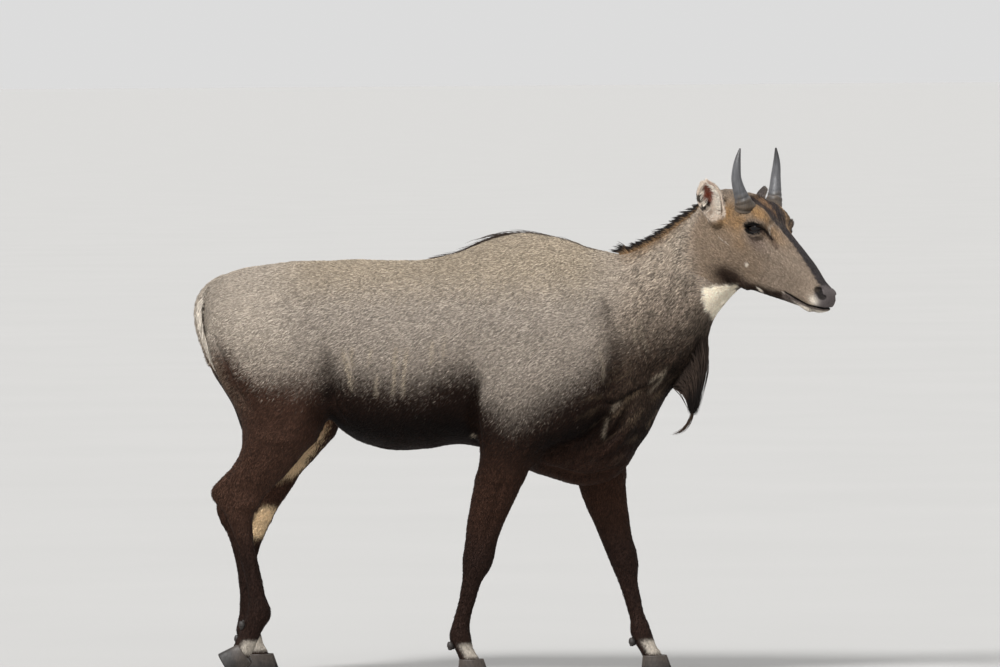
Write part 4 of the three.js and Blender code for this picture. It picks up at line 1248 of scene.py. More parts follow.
# The lie of the coat, and how long, wide and dense its tufts are
def lie_of_coat(points, normals):
    """The way the hairs lie: back along the trunk, down the legs, and up the ears."""
    x, _, z = points.T
    low = fall(620, 980, z)
    way = painted(
        unit(together(-1.0, 0.0, -0.6 - 0.9 * low)),
        (np.array((-0.72, 0.0, -0.7)), rise(480, 640, x) * rise(640, 800, z)),
        (np.array((-0.22, 0.0, -1.0)), fall(520, 700, z)),
        (np.array((-0.3, 0.0, -1.0)), rise(520, 600, x) * fall(820, 960, z)),
        (np.array((0.1, 0.0, -1.0)), ((x < -640) & (z > 880)).astype(float)),
        (np.array((-0.96, 0.0, 0.1)) @ HEAD_AXES, on_the_head(points)),
    )
    ear, side = is_ear(points), head_side(points)
    for which in (NEAR, FAR):
        way[ear & (side == which)] = ear_frame(which)[1] @ HEAD_AXES
    way = way + 0.16 * np.stack([noise3(points, 90, 30 + i) for i in range(3)], axis=1)
    return unit(way - normals * np.sum(way * normals, axis=1, keepdims=True))


def coat_size(points):
    """Length and width of a tuft, in millimetres."""
    z = points[:, 2]
    leg = fall(420, 640, z)
    foot = fall(120, 220, z)
    head = on_the_head(points)
    forward = to_head(points)[:, 0]
    length = 12.5 - 2 * leg - 2 * foot
    width = 2.2 - 0.5 * leg - 0.3 * foot
    face = head * rise(-40, 60, forward)
    length = length * (1 - face) + face * (9.5 - 4.5 * rise(250, 460, forward))
    width = width * (1 - face) + face * (1.5 - 0.5 * rise(250, 460, forward))
    ear = is_ear(points)
    return np.where(ear, 8.0, length), np.where(ear, 1.2, width)


# Solid tufts and locks
TUFT_FACES = np.array([(1, 2, 3), (0, 2, 1), (0, 1, 3), (0, 3, 2)])


def tuft_points(root, normal, lie, length, width, draw):
    """Slim closed tufts of four triangles: a sunk root, two waist points and a raised tip."""
    way = unit(lie + scaled(np.cross(normal, lie), draw.normal(0, 0.16, len(root))))
    lift = (0.12 + 0.12 * draw.random(len(root)) ** 2) * length
    base = root - scaled(normal, 0.08 * length)
    waist = root + scaled(way, 0.4 * length) + scaled(normal, 0.55 * lift)
    tip = root + scaled(way, length) + scaled(normal, lift)
    half = scaled(np.cross(normal, way), width / 2)
    return np.stack([base, waist + half, waist - half, tip], axis=1)


def lock_mesh(paths, across, width, thick):
    """Tapered locks round paths of points: a point at each end and rings of four between."""
    count, steps = paths.shape[:2]
    tangent = unit(np.gradient(paths, axis=1))
    across = unit(across[:, None] - tangent * np.sum(across[:, None] * tangent, axis=2)[..., None])
    upright = np.cross(tangent, across)
    share = np.linspace(0, 1, steps)
    taper = np.minimum(0.6 + 1.6 * share, 1) * (1 - 0.9 * share**1.5)
    wide = (np.reshape(width, (-1, 1)) * taper)[..., None] * across
    deep = (np.reshape(thick, (-1, 1)) * taper)[..., None] * upright
    rings = np.stack([paths + wide, paths + deep, paths - wide, paths - deep], axis=2)[:, 1:-1]
    points = np.concatenate([rings.reshape(count, -1, 3), paths[:, :1], paths[:, -1:]], axis=1)
    quads, fans = tube_faces(steps - 2, 4)
    walls = np.concatenate([quads[:, [0, 1, 2]], quads[:, [0, 2, 3]], fans])[:, ::-1]
    first = np.arange(count)[:, None, None] * points.shape[1]
    shares = np.concatenate([np.repeat(share[1:-1], 4), [0, 1]])
    return points.reshape(-1, 3), (walls[None] + first).reshape(-1, 3), np.tile(shares, count)


def scattered(skin, density, count, draw):
    """Roots spread evenly over the skin by a density for each of its points."""
    corners = skin.points[skin.triangles]
    area = np.linalg.norm(skin.corner_normals(), axis=1) / 2
    weight = np.cumsum(area * density[skin.triangles].mean(1))
    places = (np.arange(count) + draw.random(count)) / count * weight[-1]
    face = np.minimum(np.searchsorted(weight, places), len(weight) - 1)
    a, b = np.sqrt(draw.random(count)), draw.random(count)
    share = np.stack([1 - a, a * (1 - b), a * b], axis=1)[..., None]
    normals = skin.normals()[skin.triangles[face]]
    return np.sum(corners[face] * share, axis=1), unit(np.sum(normals * share, axis=1))


# An unwrap of the body's own shape: trunk, head and each leg in a rectangle of its own
ATLAS_PATCH = 0.003


def atlas(points):
    """Where each point lies in the unwrap."""
    x, y, z = points.T
    middle = np.interp(x, (-600, 0, 400, 600, 800), (1000, 930, 900, 1000, 1180))
    turn = np.arctan2(y, z - middle) / (2 * math.pi) + 0.5
    place = np.stack([0.02 + 0.96 * (x + 700) / 1560, 0.52 + 0.46 * turn], axis=1)
    local = to_head(points)
    head_turn = np.arctan2(local[:, 1], local[:, 2] + 80) / (2 * math.pi) + 0.5
    head = np.stack([0.52 + 0.4 * (local[:, 0] + 120) / 620, 0.02 + 0.46 * head_turn], axis=1)
    place = np.where((on_the_head(points) > 0.5)[:, None], head, place)
    for number, leg in enumerate(LEGS.values()):
        rows = np.array(leg["middle"] + leg["cannon"][1:] + leg["foot"][1:], float)
        rows = rows[np.argsort(rows[:, 0])]
        centre = np.interp(z, rows[:, 0], (rows[:, 1] + rows[:, 2]) / 2)
        around = np.arctan2(y - leg["side"] * 105, x - centre) / (2 * math.pi) + 0.5
        strip = np.stack([0.02 + 0.12 * number + 0.1 * around, 0.02 + 0.46 * z / 640], axis=1)
        here = (z < 600) & (y * leg["side"] > 0) & ((x < -200) == (rows[0, 1] < -200))
        place = np.where(here[:, None], strip, place)
    ear = is_ear(points)
    share = ear_share(points)
    leaf = np.stack([0.93 + 0.02 * share[:, 1] / 40, 0.1 + 0.16 * share[:, 0] / 130], axis=1)
    leaf[:, 1] += 0.2 * (head_side(points) == FAR) + 0.02 * (share[:, 2] > 0)
    return np.where(ear[:, None], leaf, place)


# Blender objects
def piece(name, points, faces, material, nodes, colours, uv=None):
    """A mesh object from arrays, in the row's frame, that stands for CAD nodes."""
    mesh = bpy.data.meshes.new(name)
    if isinstance(faces, np.ndarray):
        totals = np.full(len(faces), faces.shape[1], np.int32)
        corners = faces.reshape(-1).astype(np.int32)
    else:
        totals = np.array([len(face) for face in faces], np.int32)
        corners = np.array([i for face in faces for i in face], np.int32)
    mesh.vertices.add(len(points))
    mesh.vertices.foreach_set("co", to_row(points).astype(np.float32).reshape(-1))
    mesh.loops.add(len(corners))
    mesh.loops.foreach_set("vertex_index", corners)
    mesh.polygons.add(len(totals))
    mesh.polygons.foreach_set("loop_start", np.concatenate([[0], np.cumsum(totals)[:-1]]))
    mesh.polygons.foreach_set("use_smooth", np.ones(len(totals), bool))
    mesh.update(calc_edges=True)
    paint = mesh.attributes.new("Hide", "FLOAT_COLOR", "POINT")
    rgba = np.ones((len(points), 4), np.float32)
    rgba[:, :3] = np.clip(colours, 0, 1)
    paint.data.foreach_set("color", rgba.reshape(-1))
    if uv is not None:
        layer = mesh.uv_layers.new(name="OFBake")
        layer.data.foreach_set("uv", uv[corners].astype(np.float32).reshape(-1))
    mesh.materials.append(materials[material])
    made = bpy.data.objects.new(name, mesh)
    bpy.context.scene.collection.objects.link(made)
    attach(made, "root")
    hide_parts(*nodes)


NOISE_LOW, NOISE_HIGH = 0.3, 0.7  # the span that most of a noise lies in


class Nodes:
    """A short way to write a material's nodes."""

    def __init__(self, name):
        self.material = bpy.data.materials.new(name)
        self.material.use_nodes = True
        self.tree = self.material.node_tree
        self.shader = self.tree.nodes["Principled BSDF"]

    def add(self, kind, inputs=None, **settings):
        node = self.tree.nodes.new(kind)
        for key, value in settings.items():
            setattr(node, key, value)
        for key, value in (inputs or {}).items():
            if isinstance(value, bpy.types.NodeSocket):
                self.tree.links.new(value, node.inputs[key])
            else:
                node.inputs[key].default_value = value
        return node

    def set(self, **values):
        for key, value in values.items():
            socket = self.shader.inputs[key.replace("_", " ")]
            if isinstance(value, bpy.types.NodeSocket):
                self.tree.links.new(value, socket)
            else:
                socket.default_value = value

    def noise(self, scale, detail, stretch=(1, 1, 1)):
        place = self.add("ShaderNodeTexCoord").outputs["Object"]
        turned = self.add("ShaderNodeMapping", {"Vector": place, "Scale": stretch})
        made = self.add("ShaderNodeTexNoise", {
            "Vector": turned.outputs["Vector"], "Scale": scale, "Detail": detail})
        return made.outputs["Fac"]

    def ranged(self, noise, low, high):
        made = self.add("ShaderNodeMapRange", {
            "Value": self.noise(*noise), "From Min": NOISE_LOW, "From Max": NOISE_HIGH,
            "To Min": low, "To Max": high})
        return made.outputs["Result"]

    def times(self, tint, value):
        grey = self.add("ShaderNodeCombineColor", {"Red": value, "Green": value, "Blue": value})
        made = self.add("ShaderNodeMix", data_type="RGBA", blend_type="MULTIPLY")
        made.inputs["Factor"].default_value = 1
        self.tree.links.new(tint, made.inputs[6])
        self.tree.links.new(grey.outputs["Color"], made.inputs[7])
        return made.outputs[2]

    def bump(self, noise, strength, distance, under):
        made = self.add("ShaderNodeBump", {
            "Height": self.noise(*noise), "Strength": strength, "Distance": distance})
        if under is not None:
            self.tree.links.new(under, made.inputs["Normal"])
        return made.outputs["Normal"]


def material(name, grains, values, rough=None, bumps=()):
    """A painted surface: grain over its colour, and roughness and bumps out of finer noise."""
    nodes = Nodes(name)
    tint = nodes.add("ShaderNodeAttribute", attribute_name="Hide").outputs["Color"]
    for grain in grains:
        tint = nodes.times(tint, nodes.ranged(*grain))
    nodes.set(Base_Color=tint, **values)
    if rough:
        nodes.set(Roughness=nodes.ranged(*rough))
    normal = None
    for bump in bumps:
        normal = nodes.bump(*bump, normal)
    if bumps:
        nodes.set(Normal=normal)
    return nodes.material


# Each noise is a scale, its detail and how it is stretched, and then the span it is set to
materials = {
    "hide": material(
        "hide", [((620, 4), 0.72, 1.22), ((46, 3), 0.93, 1.06)],
        {"Roughness": 0.7, "Specular_IOR_Level": 0.1},
        bumps=[((900, 3, (0.4, 1, 1)), 0.35, 0.0012), ((90, 4), 0.25, 0.003)]),
    "coat": material(
        "coat", [((800, 2), 0.86, 1.14)], {"Roughness": 0.6, "Specular_IOR_Level": 0.1}),
    "hair": material(
        "long_hair", [((420, 3, (1, 1, 0.2)), 0.7, 1.25)],
        {"Roughness": 0.55, "Specular_IOR_Level": 0.14}),
    "horn": material(
        "horn_keratin", [((260, 5, (1, 1, 0.16)), 0.72, 1.3)], {"Specular_IOR_Level": 0.45},
        ((140, 3), 0.34, 0.58), [((330, 4, (1, 1, 0.14)), 0.4, 0.0012)]),
    "hoof": material(
        "hoof_keratin", [((300, 4, (1, 1, 0.3)), 0.7, 1.3)], {"Specular_IOR_Level": 0.4},
        ((90, 3), 0.42, 0.66), [((240, 4, (0.3, 0.3, 1)), 0.35, 0.001)]),
    "eye": material(
        "eye_wet", [((900, 3), 0.7, 1.3)],
        {"Roughness": 0.25, "Specular_IOR_Level": 0.08, "Coat_Weight": 0.6,
         "Coat_Roughness": 0.03, "Coat_IOR": 1.4}),
    "lid": material(
        "lid_rim", [((500, 3), 0.8, 1.2)], {"Roughness": 0.42, "Specular_IOR_Level": 0.4},
        bumps=[((700, 3), 0.3, 0.0008)]),
}


# Skin
leg_flesh = [f"{leg}_{part}" for leg in LEGS for part in ("upper", "middle", "cannon", "foot")]
FLESH = ["torso", "neck", "head", "ear_left", "ear_right", "tail", *leg_flesh]


def add_skin():
    skin = skin_surface()
    sculpt(skin)
    paint = fine_marks(skin.points, hide_colour(skin.points, skin.normals()))
    piece("skin", skin.points, skin.faces, "hide", FLESH, paint)
    return skin


# Coat
COAT_TUFTS = 285000
COAT_MOST = 48000  # tufts in one piece


def coat_density(points):
    head = on_the_head(points)
    forward = to_head(points)[:, 0]
    leg = fall(420, 640, points[:, 2])
    density = 1 + 0.5 * leg + 1.2 * head + 1.2 * head * rise(200, 380, forward)
    bare = head * rise(434, 452, forward + 0.3 * to_head(points)[:, 2])
    density *= 1 - bare
    low = points[:, 2] < 40
    return np.where(low, 0, density)


def coat_tint(base, draw):
    """How light a tuft's root, waist and tip are beside the hide: dark, plain and pale-tipped hairs."""
    kind = draw.random(len(base))
    root = np.where(kind < 0.36, 0.66, 0.84)
    tip = np.where(kind < 0.36, 0.6, np.where(kind < 0.68, 1.0, 1.8))
    tint = np.stack([root, 0.5 * (root + tip), 0.5 * (root + tip), tip], axis=1)
    tint *= draw.normal(1, 0.08, (len(base), 1))
    pale = rise(0.3, 0.6, base.mean(axis=1))[:, None]
    return tint * (1 - 0.7 * pale) + 0.7 * pale


def add_coat(skin):
    """The coat as short solid tufts, in pieces from the rump to the head."""
    draw = np.random.default_rng(7)
    roots, normals = scattered(skin, coat_density(skin.points), COAT_TUFTS, draw)
    lie = lie_of_coat(roots, normals)
    length, width = coat_size(roots)
    length = length * draw.normal(1, 0.14, len(roots)).clip(0.6, 1.4)
    points = tuft_points(roots, normals, lie, length, width, draw)
    strewn = draw.normal(0, 1, (len(roots), 3)) * (8, 0, 22)
    trunk = rise(600, 700, roots[:, 2]) * fall(740, 790, roots[:, 0])
    base = fine_marks(roots, hide_colour(roots + strewn * trunk[:, None], normals))
    tint = coat_tint(base, draw)
    neck = rise(520, 640, roots[:, 0]) * (1 - on_the_head(roots))
    tint = np.maximum(1 + (tint - 1) * (1 + 0.5 * neck)[:, None], 0.25)
    places = atlas(roots)
    order = np.lexsort((roots[:, 2], roots[:, 0] // 200))
    chunks = np.array_split(order, math.ceil(len(order) / COAT_MOST))
    spread = np.array([(0, -0.5), (0.5, 0), (-0.5, 0), (0, 0.5)]) * ATLAS_PATCH
    for number, chunk in enumerate(chunks, 1):
        faces = (TUFT_FACES[None] + 4 * np.arange(len(chunk))[:, None, None]).reshape(-1, 3)
        paint = (base[chunk][:, None] * tint[chunk][..., None]).reshape(-1, 3)
        uv = (places[chunk][:, None] + spread).reshape(-1, 2)
        piece(f"coat_{number}", points[chunk].reshape(-1, 3), faces, "coat",
              ["torso"], paint, uv)


def hair_piece(name, node, paths, across, size, tints, draw, turn_at=0.35):
    """Long hair as one piece of locks of a width and thickness, coloured from root to tip."""
    points, faces, share = lock_mesh(paths, np.broadcast_to(across, (len(paths), 3)), *size)
    each = len(points) // len(paths)
    tint = mixed(*tints, rise(turn_at - 0.15, turn_at + 0.15, share))
    tint = scaled(tint, np.repeat(draw.normal(1, 0.16, len(paths)).clip(0.5, 1.6), each))
    wide = np.tile(np.linspace(-0.5, 0.5, each), len(paths)) * ATLAS_PATCH
    uv = atlas(np.repeat(paths[:, 0], each, axis=0))
    uv = uv + np.stack([wide, (share - 0.5) * ATLAS_PATCH], axis=1)
    piece(name, points, faces, "hair", [node], tint, uv)


HAIR_BLACK = colour(30, 25, 23)
HAIR_BROWN = colour(74, 58, 46)
HAIR_TAN = colour(146, 118, 88)
HAIR_GREY = colour(60, 49, 42)


def curve_frames(line, share):
    """Spots at shares of a smooth line, its direction there, and the direction upright to it."""
    fine = line_through(line, 200)
    place, stations = share * 199, np.arange(200)
    along = unit(sampled(place, stations, np.gradient(fine, axis=0)))
    return sampled(place, stations, fine), along, unit(np.cross(along, (0, 1, 0)))


def bent_paths(base, steps, *offsets):
    """Paths from a base through points given as (share of the way, offset)."""
    stations = np.array([share for share, _ in offsets])
    spots = np.stack([base + offset for _, offset in offsets])
    share = np.linspace(0, 1, steps)
    paths = np.stack([sampled(share, stations, spots[:, i]) for i in range(len(base))])
    soft = paths.copy()
    soft[:, 1:-1] = 0.5 * paths[:, 1:-1] + 0.25 * (paths[:, :-2] + paths[:, 2:])
    return soft


def add_nape_mane():
    draw = np.random.default_rng(11)
    count = 760
    share = np.linspace(0.0, 0.985, count)
    spot, along, up = curve_frames(NAPE_LINE, share)
    side = draw.normal(0, 5.5, count)
    root = spot + together(0, side, -0.05 * side**2) - 4 * up
    clump = 0.5 + 0.5 * np.sin(share * 92 + 1.6 * np.sin(share * 31))
    length = (22 + 7 * clump) * draw.normal(1, 0.12, count) * (1 + 0.5 * (share < 0.08))
    length *= np.minimum(1, 0.55 + 3.2 * (1 - share)) * np.minimum(1, 0.75 + 2.5 * share)
    lean = 0.75 + 0.16 * np.sin(share * 57) + draw.normal(0, 0.1, count)
    out = together(0, side * 0.5 + draw.normal(0, 2.5, count), 0)
    paths = bent_paths(
        root, 7, (0, 0), (0.5, scaled(0.55 * up - 0.12 * along, length) + 0.5 * out),
        (1, scaled(up - scaled(along, lean), length) + out))
    hair_piece("mane_nape_hair", "mane_nape", paths, along, (2.0, 0.9),
               (HAIR_TAN, HAIR_BLACK), draw, 0.5)


def add_withers_crest():
    draw = np.random.default_rng(23)
    count = 1000
    share = 1 - 0.96 * draw.random(count)
    spot, _, up = curve_frames(WITHERS_LINE, share)
    side = draw.normal(0, 8, count)
    root = spot + together(0, side, -0.04 * side**2) - 5 * up
    length = (64 + 26 * draw.random(count)) * np.minimum(1, 0.55 + 1.4 * share)
    lift = 0.11 + 0.08 * draw.random(count) + 0.14 * (draw.random(count) < 0.05)
    lift = lift * (1 - 0.45 * rise(0.5, 0.8, share)) * np.minimum(1, 0.55 + share)
    out = together(0, side * 0.3, 0)
    steps = []
    for part, high in ((0, 0), (0.3, 0.62), (0.65, 1.0), (1, 1.02)):
        further = share - part * length / 400
        there, _, _ = curve_frames(WITHERS_LINE, np.clip(further, 0, 1))
        beyond = np.minimum(further, 0)[:, None] * np.array((400, 0, 14))
        steps.append((part, there - spot + beyond + scaled(up, high * lift * length) + out * part))
    hair_piece("mane_withers_hair", "mane_withers", bent_paths(root, 8, *steps),
               (0.0, 1.0, 0.0), (1.7, 0.9), (HAIR_BROWN, HAIR_GREY), draw, 0.3)


def add_beard():
    draw = np.random.default_rng(37)
    count = 1400
    share = draw.random(count)
    root, _, _ = curve_frames(BEARD_ROOTS, share)
    tip, _, _ = curve_frames(BEARD_TIPS, share)
    side = draw.normal(0, 11, count)
    root = root + together(draw.normal(-2, 3, count), side, 0)
    drop = 110 * draw.random(count) ** 1.6 - 36
    tip = tip + together(draw.normal(0, 3, count) + 0.1 * drop, 0.3 * side, drop)
    middle = 0.55 * root + 0.45 * tip
    middle = middle + together(13 + draw.normal(0, 5, count), 0.2 * side, 7 * share)
    paths = bent_paths(root, 9, (0, 0), (0.45, middle - root), (1, tip - root))
    hair_piece("beard_hair", "beard", paths, (1.0, 0.4, 0.0), (1.5, 0.9),
               (HAIR_GREY, HAIR_BLACK), draw, 0.6)
    wisps = 80
    root = np.array(BEARD_TIPS[1]) + (0, 0, 60) + draw.normal(0, 4, (wisps, 3))
    reach = 0.72 + 0.28 * draw.random(wisps)
    paths = []
    for i in range(wisps):
        end = line_through(WISP, 60)[: int(60 * reach[i])]
        path = np.concatenate([[root[i]], smooth_rows(end, 9)])
        path[1:] += draw.normal(0, 2.2, 3) * np.linspace(0.4, 1.3, 9)[:, None]
        paths.append(path)
    hair_piece("beard_wisp_hair", "beard", np.array(paths), (0.0, 1.0, 0.0),
               (1.3, 0.8), (HAIR_BLACK, HAIR_BROWN), draw, 0.6)


def add_tail_tuft(draw):
    count = 240
    turn = 2 * math.pi * draw.random(count)
    start = 0.45 * draw.random(count)
    line = line_through(TUFT_LINE, 100)
    share = np.linspace(0, 1, 9)
    paths = []
    for i in range(count):
        first = int(99 * start[i] * 0.8)
        last = min(99, first + 55 + int(30 * draw.random()))
        spread = 5 + 12 * np.sin(math.pi * share**0.8) * (1 - 0.5 * start[i])
        out = together(0.7 * spread * math.cos(turn[i]), spread * math.sin(turn[i]), 0)
        paths.append(smooth_rows(line[first:last + 1:6], 9) + out)
    hair_piece("tail_tuft_hair", "tail_tuft", np.array(paths),
               together(-np.sin(turn), np.cos(turn), 0), (2.2, 1.0), (HAIR_BROWN, HAIR_BLACK),
               draw, 0.3)


def add_tail_fringe(draw):
    count = 420
    share = 0.2 + 0.78 * draw.random(count)
    spot, along, _ = curve_frames(TAIL_LINE, share)
    which = np.where(draw.random(count) < 0.5, -1, 1)
    root = spot + together(10 * draw.random(count) - 1, which * (20 - 7 * share), 0)
    length = 44 + 16 * draw.random(count)
    out = together(2 + 3 * draw.random(count), which * (2 + 2 * draw.random(count)), 0)
    paths = bent_paths(root, 7, (0, -0.1 * out), (0.4, scaled(along, 0.4 * length) + 0.7 * out),
                       (1, scaled(along, length) + out))
    hair_piece("tail_fringe_hair", "tail", paths, (1.0, 0, 0.2), (1.7, 0.8),
               (WHITE, WHITE * 0.85), draw)


def add_ear_hair():
    draw = np.random.default_rng(61)
    # the far ear's fringe is grey instead of white, as painted shade
    for word, side, count, tint in (("left", FAR, 50, EAR_GREY), ("right", NEAR, 130, WHITE)):
        start, up, across, face = ear_frame(side)
        share = 0.1 + 0.8 * draw.random(count)
        edge = np.where(draw.random(count) < 0.12, -1.0, 1.0)
        width, _ = ear_size(share, 101)
        root = (start + np.outer(share * EAR_LENGTH[side], up)
                + np.outer(edge * (width - 6), across) + face * 4)
        inward = -np.outer(edge, across)
        length = 16 + 12 * draw.random(count)
        lean = np.outer(0.5 * draw.random(count) + 0.15, up)
        paths = bent_paths(
            root, 6, (0, 0), (0.5, scaled(0.8 * inward + lean + 0.5 * face, 0.5 * length)),
            (1, scaled(0.9 * inward + 1.5 * lean + 0.25 * face, length)))
        hair_piece(f"ear_{word}_white_hair", f"ear_{word}", from_head(paths),
                   up @ HEAD_AXES, (1.0, 0.5), (tint, tint), draw)


# Horns, hooves and eyes
BOTH_SIDES = (("left", FAR), ("right", NEAR))


def outward(points, faces):
    """The faces turned so that they look out."""
    shape = Surface(points, faces)
    first = shape.points[shape.triangles[:, 0]] - shape.points.mean(0)
    inside_out = np.einsum("ij,ij->", shape.corner_normals(), first) < 0
    return [face[::-1] for face in faces] if inside_out else faces


def solid(rings):
    """Points and faces of a closed tube that look out."""
    points, quads, fans = closed_tube(rings)
    return points, outward(points, quads.tolist() + fans.tolist())


def growth_wave(share):
    """The rings of a horn by the share of its length, and how strongly they show there."""
    return np.sin(share * 62 + 0.6 * np.sin(share * 19)), fall(0.2, 0.5, share)


def add_horns():
    rows, sides = 150, 40
    t = smooth_rows(HORN, rows)
    share = np.linspace(0, 1, rows)
    wave, shown = growth_wave(share)
    swell = 1 + wave * 0.035 * shown + 0.004 * np.sin(share * 170)
    for word, side in BOTH_SIDES:
        line = np.stack([t[:, 0], side * t[:, 2], t[:, 1]], axis=1)
        rings = tube_along(line, sides, (0, side, 0), 0.86 * t[:, 3] * swell, t[:, 3] * swell)
        flare = unit(np.array((0.62, -0.7 * side, 0.3)))
        local = rings - line[:, None]
        toward = np.maximum(local @ flare, 0) / t[:, 3, None]
        local += (HORN_FLARE * fall(0, 0.24, share)[:, None] * toward**2)[..., None] * flare
        points, faces = solid(from_head(local + line[:, None]))
        up = np.concatenate([np.repeat(share, sides), [0, 1]])
        tint = painted(
            colour(84, 72, 60),
            (colour(84, 84, 86), rise(0.16, 0.36, up + 0.04 * noise3(points, 30, 71))),
            (colour(54, 52, 52), rise(0.7, 1, up)),
        )
        # painted shade: darker in the grooves between the growth rings
        wave_up, shown_up = growth_wave(up)
        tint = scaled(tint, 1 - 0.2 * (1 - wave_up) * shown_up)
        piece(f"horn_{word}_keratin", points, faces, "horn", [f"horn_{word}"], tint)


def add_hoof_half(name, leg, word, way):
    hoof = leg["hooves"]
    pitch, length = math.radians(hoof["pitch"]), hoof["toe"] - hoof["heel"]
    rows, sides = 26, 44
    share = np.linspace(0, 1, rows)[:, None]
    height = HOOF["height"] * (1 - share)
    angle = around(sides)[None]
    along = np.cos(angle)
    front, back = length / 2 - 0.36 * height, -length / 2 + 0.1 * height
    width = HOOF["width"] * (1 - 0.1 * (1 - share))
    width = width * (1 - HOOF["taper"] * np.maximum(0, along) ** 2)
    grown = 1 + 0.006 * np.sin(height * 0.9 + along) - 0.03 * (share > 0.99)
    x = (front + back) / 2 + (front - back) / 2 * along * grown - length / 2
    z = height + 0 * angle
    rings = together(
        hoof["toe"] + x * math.cos(pitch) + z * math.sin(pitch),
        width * np.sin(angle) * grown + leg["side"] * (hoof["y"] + way * HOOF["spread"]),
        np.maximum(z * math.cos(pitch) - x * math.sin(pitch) + hoof["lift"], 0))
    points, faces = solid(rings)
    top = np.concatenate([np.repeat(share.ravel(), sides), [0, 1]])
    tint = mixed(colour(66, 58, 52), colour(34, 30, 28),
                 rise(0.1, 0.7, top + 0.1 * noise3(points, 20, 77)))
    piece(f"{name}_hoof_{word}_horn", points, faces, "hoof", [f"{name}_hoof_{word}"], tint)


def add_dewclaw(name, leg, word, way):
    spot, sides = leg["dewclaw"], 24
    centre = (spot["x"], leg["side"] * (spot["y"] + way * DEWCLAW["spread"]), spot["z"])
    height = np.linspace(1, -1, 16)[1:-1, None]
    radius = np.sqrt(1 - height**2) * (1 - 0.16 * (height < -0.2)) * DEWCLAW["radius"]
    rings = together(
        radius * np.cos(around(sides)) - 0.14 * DEWCLAW["radius"] * height**2,
        0.8 * radius * np.sin(around(sides)), height * DEWCLAW["height"])
    points, faces = solid(rings + centre)
    piece(f"{name}_dewclaw_{word}_horn", points, faces, "hoof",
          [f"{name}_dewclaw_{word}"], colour(40, 35, 32))


def add_hooves():
    for name, leg in LEGS.items():
        for word, way in (("inner", -1), ("outer", 1)):
            add_hoof_half(name, leg, word, way)
            add_dewclaw(name, leg, word, way)


def add_eyes():
    polar = np.linspace(0.02, math.pi - 0.02, 60)[:, None]
    angle = around(72)[None]
    ball = together(np.sin(polar) * np.cos(angle), np.cos(polar), np.sin(polar) * np.sin(angle))
    bulge = 1 + 0.045 * rise(0.72, 0.95, np.cos(polar))
    local = ball * (EYE_RADIUS * bulge)[..., None]
    along, out, up = np.concatenate([ball.reshape(-1, 3), [(0, 1, 0), (0, -1, 0)]]).T
    iris = fall(0.5, 0.62, np.hypot(along, up))
    pupil = fall(0.8, 1.1, np.hypot(along / 0.4, up / 0.19)) * (out > 0)
    tint = painted(colour(20, 15, 14), (colour(22, 13, 9), iris), (colour(4, 4, 6), pupil))
    for word, side in BOTH_SIDES:
        axes = eye_axes(side)
        points, faces = solid(from_head(local @ axes + mirrored(EYE, side)))
        piece(f"eye_{word}_ball", points, faces, "eye", [f"eye_{word}"], tint)
        add_lids(word, side, axes)
        add_lashes(word, side, axes)


def lid_point(along, up, out):
    depth = np.sqrt(np.maximum(EYE_RADIUS**2 - along**2 - up**2, 0) + 64)
    return together(along, depth + out, up)


def add_lids(word, side, axes):
    """The wet rims of both lids, as one ring that follows the eyeball."""
    turn = around(96)
    along = EYE_OPENING[0] * np.cos(turn)
    up = np.sin(turn) * np.where(np.sin(turn) > 0, EYE_OPENING[1] - 0.5, EYE_OPENING[1] - 2)
    middle = lid_point(along, up + LID_SLANT * np.cos(turn), -2.2)
    thick = 2.3 + 0.9 * np.maximum(np.sin(turn), 0)
    way = unit(np.roll(middle, -1, axis=0) - np.roll(middle, 1, axis=0))
    out = unit(middle)
    rings = ellipses(middle, 14, thick, np.cross(way, out), thick, out)
    index = np.arange(rings.shape[0] * rings.shape[1]).reshape(rings.shape[:2])
    beyond = np.roll(index, -1, axis=0)
    quads = np.stack([index, np.roll(index, -1, axis=1), np.roll(beyond, -1, axis=1), beyond], axis=2)
    points = from_head(rings.reshape(-1, 3) @ axes + mirrored(EYE, side))
    piece(f"lids_{word}", points, outward(points, quads.reshape(-1, 4).tolist()), "lid",
          ["head"], colour(28, 22, 20))


def add_lashes(word, side, axes):
    draw = np.random.default_rng(83)
    lashes = 40
    spread = np.linspace(0.12, 0.88, lashes) * math.pi
    up = np.sin(spread) * (EYE_OPENING[1] + 0.6) + LID_SLANT * np.cos(spread)
    root = lid_point(EYE_OPENING[0] * np.cos(spread), up, -0.4)
    length = (9 if side == NEAR else 5) + 3 * draw.random(lashes)
    out = together(0.35 * np.cos(spread), 0.95, 0.12)
    droop = together(0.5 * np.cos(spread), 0.9, -0.28)
    paths = bent_paths(root, 6, (0, 0), (0.5, scaled(out, 0.5 * length)), (1, scaled(droop, length)))
    hair_piece(f"lashes_{word}", "head", from_head(paths @ axes + mirrored(EYE, side)),
               axes[0] @ HEAD_AXES, (0.7, 0.5), (HAIR_BLACK, HAIR_BLACK), draw)


# Camera, lights and floor
CAMERA_AT = Vector((4.157, -24.615, 1.719))
CAMERA_LOOKS_AT = Vector((-0.0515, 0.0282, 0.986))
CAMERA_LENS = 316.2
CAMERA_ROLL = -0.0074


def add_camera():
    data = bpy.data.cameras.new("camera")
    data.lens, data.sensor_width = CAMERA_LENS, 36
    data.clip_end = 3000
    made = bpy.data.objects.new("camera", data)
    made.location = CAMERA_AT
    level = (CAMERA_LOOKS_AT - CAMERA_AT).to_track_quat("-Z", "Y")
    made.rotation_euler = (level @ Quaternion((0, 0, 1), CAMERA_ROLL)).to_euler()
    bpy.context.scene.collection.objects.link(made)
    bpy.context.scene.camera = made


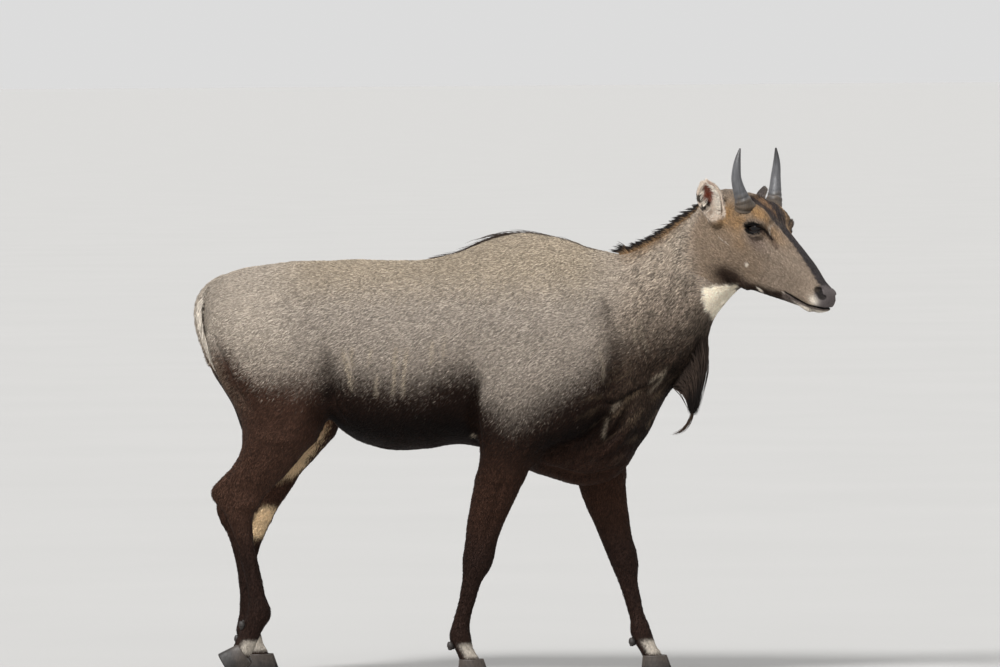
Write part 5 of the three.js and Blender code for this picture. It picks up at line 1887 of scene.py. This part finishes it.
# Lights: which way each stands, the angle that its disk fills, strength, and what it lights
LIGHTS = {
    "key": ((-0.35, -0.62, 0.7), 16, 3.4, True),
    "rim": ((0.35, 0.6, 0.7), 30, 0.5, True),
    "catch": ((-0.1, -0.85, 0.5), 18, 1.5, False),
}
SKY_LOW, SKY_HIGH = 0.755, 0.76


def add_light(name, toward, angle, strength, lights_all):
    """An even light from far off; one that doesn't light all is only seen as a shine."""
    data = bpy.data.lights.new(name, "SUN")
    data.angle, data.energy = math.radians(angle), strength
    made = bpy.data.objects.new(name, data)
    made.rotation_euler = Vector(toward).to_track_quat("Z", "Y").to_euler()
    made.visible_diffuse = lights_all
    bpy.context.scene.collection.objects.link(made)


def add_world():
    """A dome of soft light, a little brighter overhead."""
    world = bpy.data.worlds.new("studio")
    world.use_nodes = True
    tree = world.node_tree
    back = tree.nodes["Background"]
    back.inputs["Color"].default_value = (0.95, 0.95, 0.95, 1)
    place = tree.nodes.new("ShaderNodeTexCoord")
    split = tree.nodes.new("ShaderNodeSeparateXYZ")
    ramp = tree.nodes.new("ShaderNodeMapRange")
    tree.links.new(place.outputs["Generated"], split.inputs[0])
    tree.links.new(split.outputs["Z"], ramp.inputs["Value"])
    ramp.inputs["From Max"].default_value = 0.5
    ramp.inputs["To Min"].default_value = SKY_LOW
    ramp.inputs["To Max"].default_value = SKY_HIGH
    tree.links.new(ramp.outputs["Result"], back.inputs["Strength"])
    bpy.context.scene.world = world


FLOOR_TINT = (0.425, 0.42, 0.41, 1)
FLOOR_REACH = 1500


def add_floor():
    nodes = Nodes("floor_paint")
    shade = nodes.ranged((0.8, 3), 0.985, 1.015)
    tint = nodes.add("ShaderNodeRGB")
    tint.outputs[0].default_value = FLOOR_TINT
    nodes.set(Base_Color=nodes.times(tint.outputs[0], shade), Roughness=0.9)
    mesh = bpy.data.meshes.new("floor")
    corners = [(x * FLOOR_REACH, y * FLOOR_REACH, 0) for x, y in ((-1, -1), (1, -1), (1, 1), (-1, 1))]
    mesh.from_pydata(corners, [], [(0, 1, 2, 3)])
    mesh.materials.append(nodes.material)
    floor = bpy.data.objects.new("floor", mesh)
    bpy.context.scene.collection.objects.link(floor)


add_camera()
add_floor()
add_world()
for light, settings in LIGHTS.items():
    add_light(light, *settings)
bpy.context.scene.view_settings.view_transform = "Standard"

skin = add_skin()
add_horns()
add_hooves()
add_eyes()
add_nape_mane()
add_withers_crest()
add_beard()
tail_draw = np.random.default_rng(53)
add_tail_tuft(tail_draw)
add_tail_fringe(tail_draw)
add_ear_hair()
add_coat(skin)
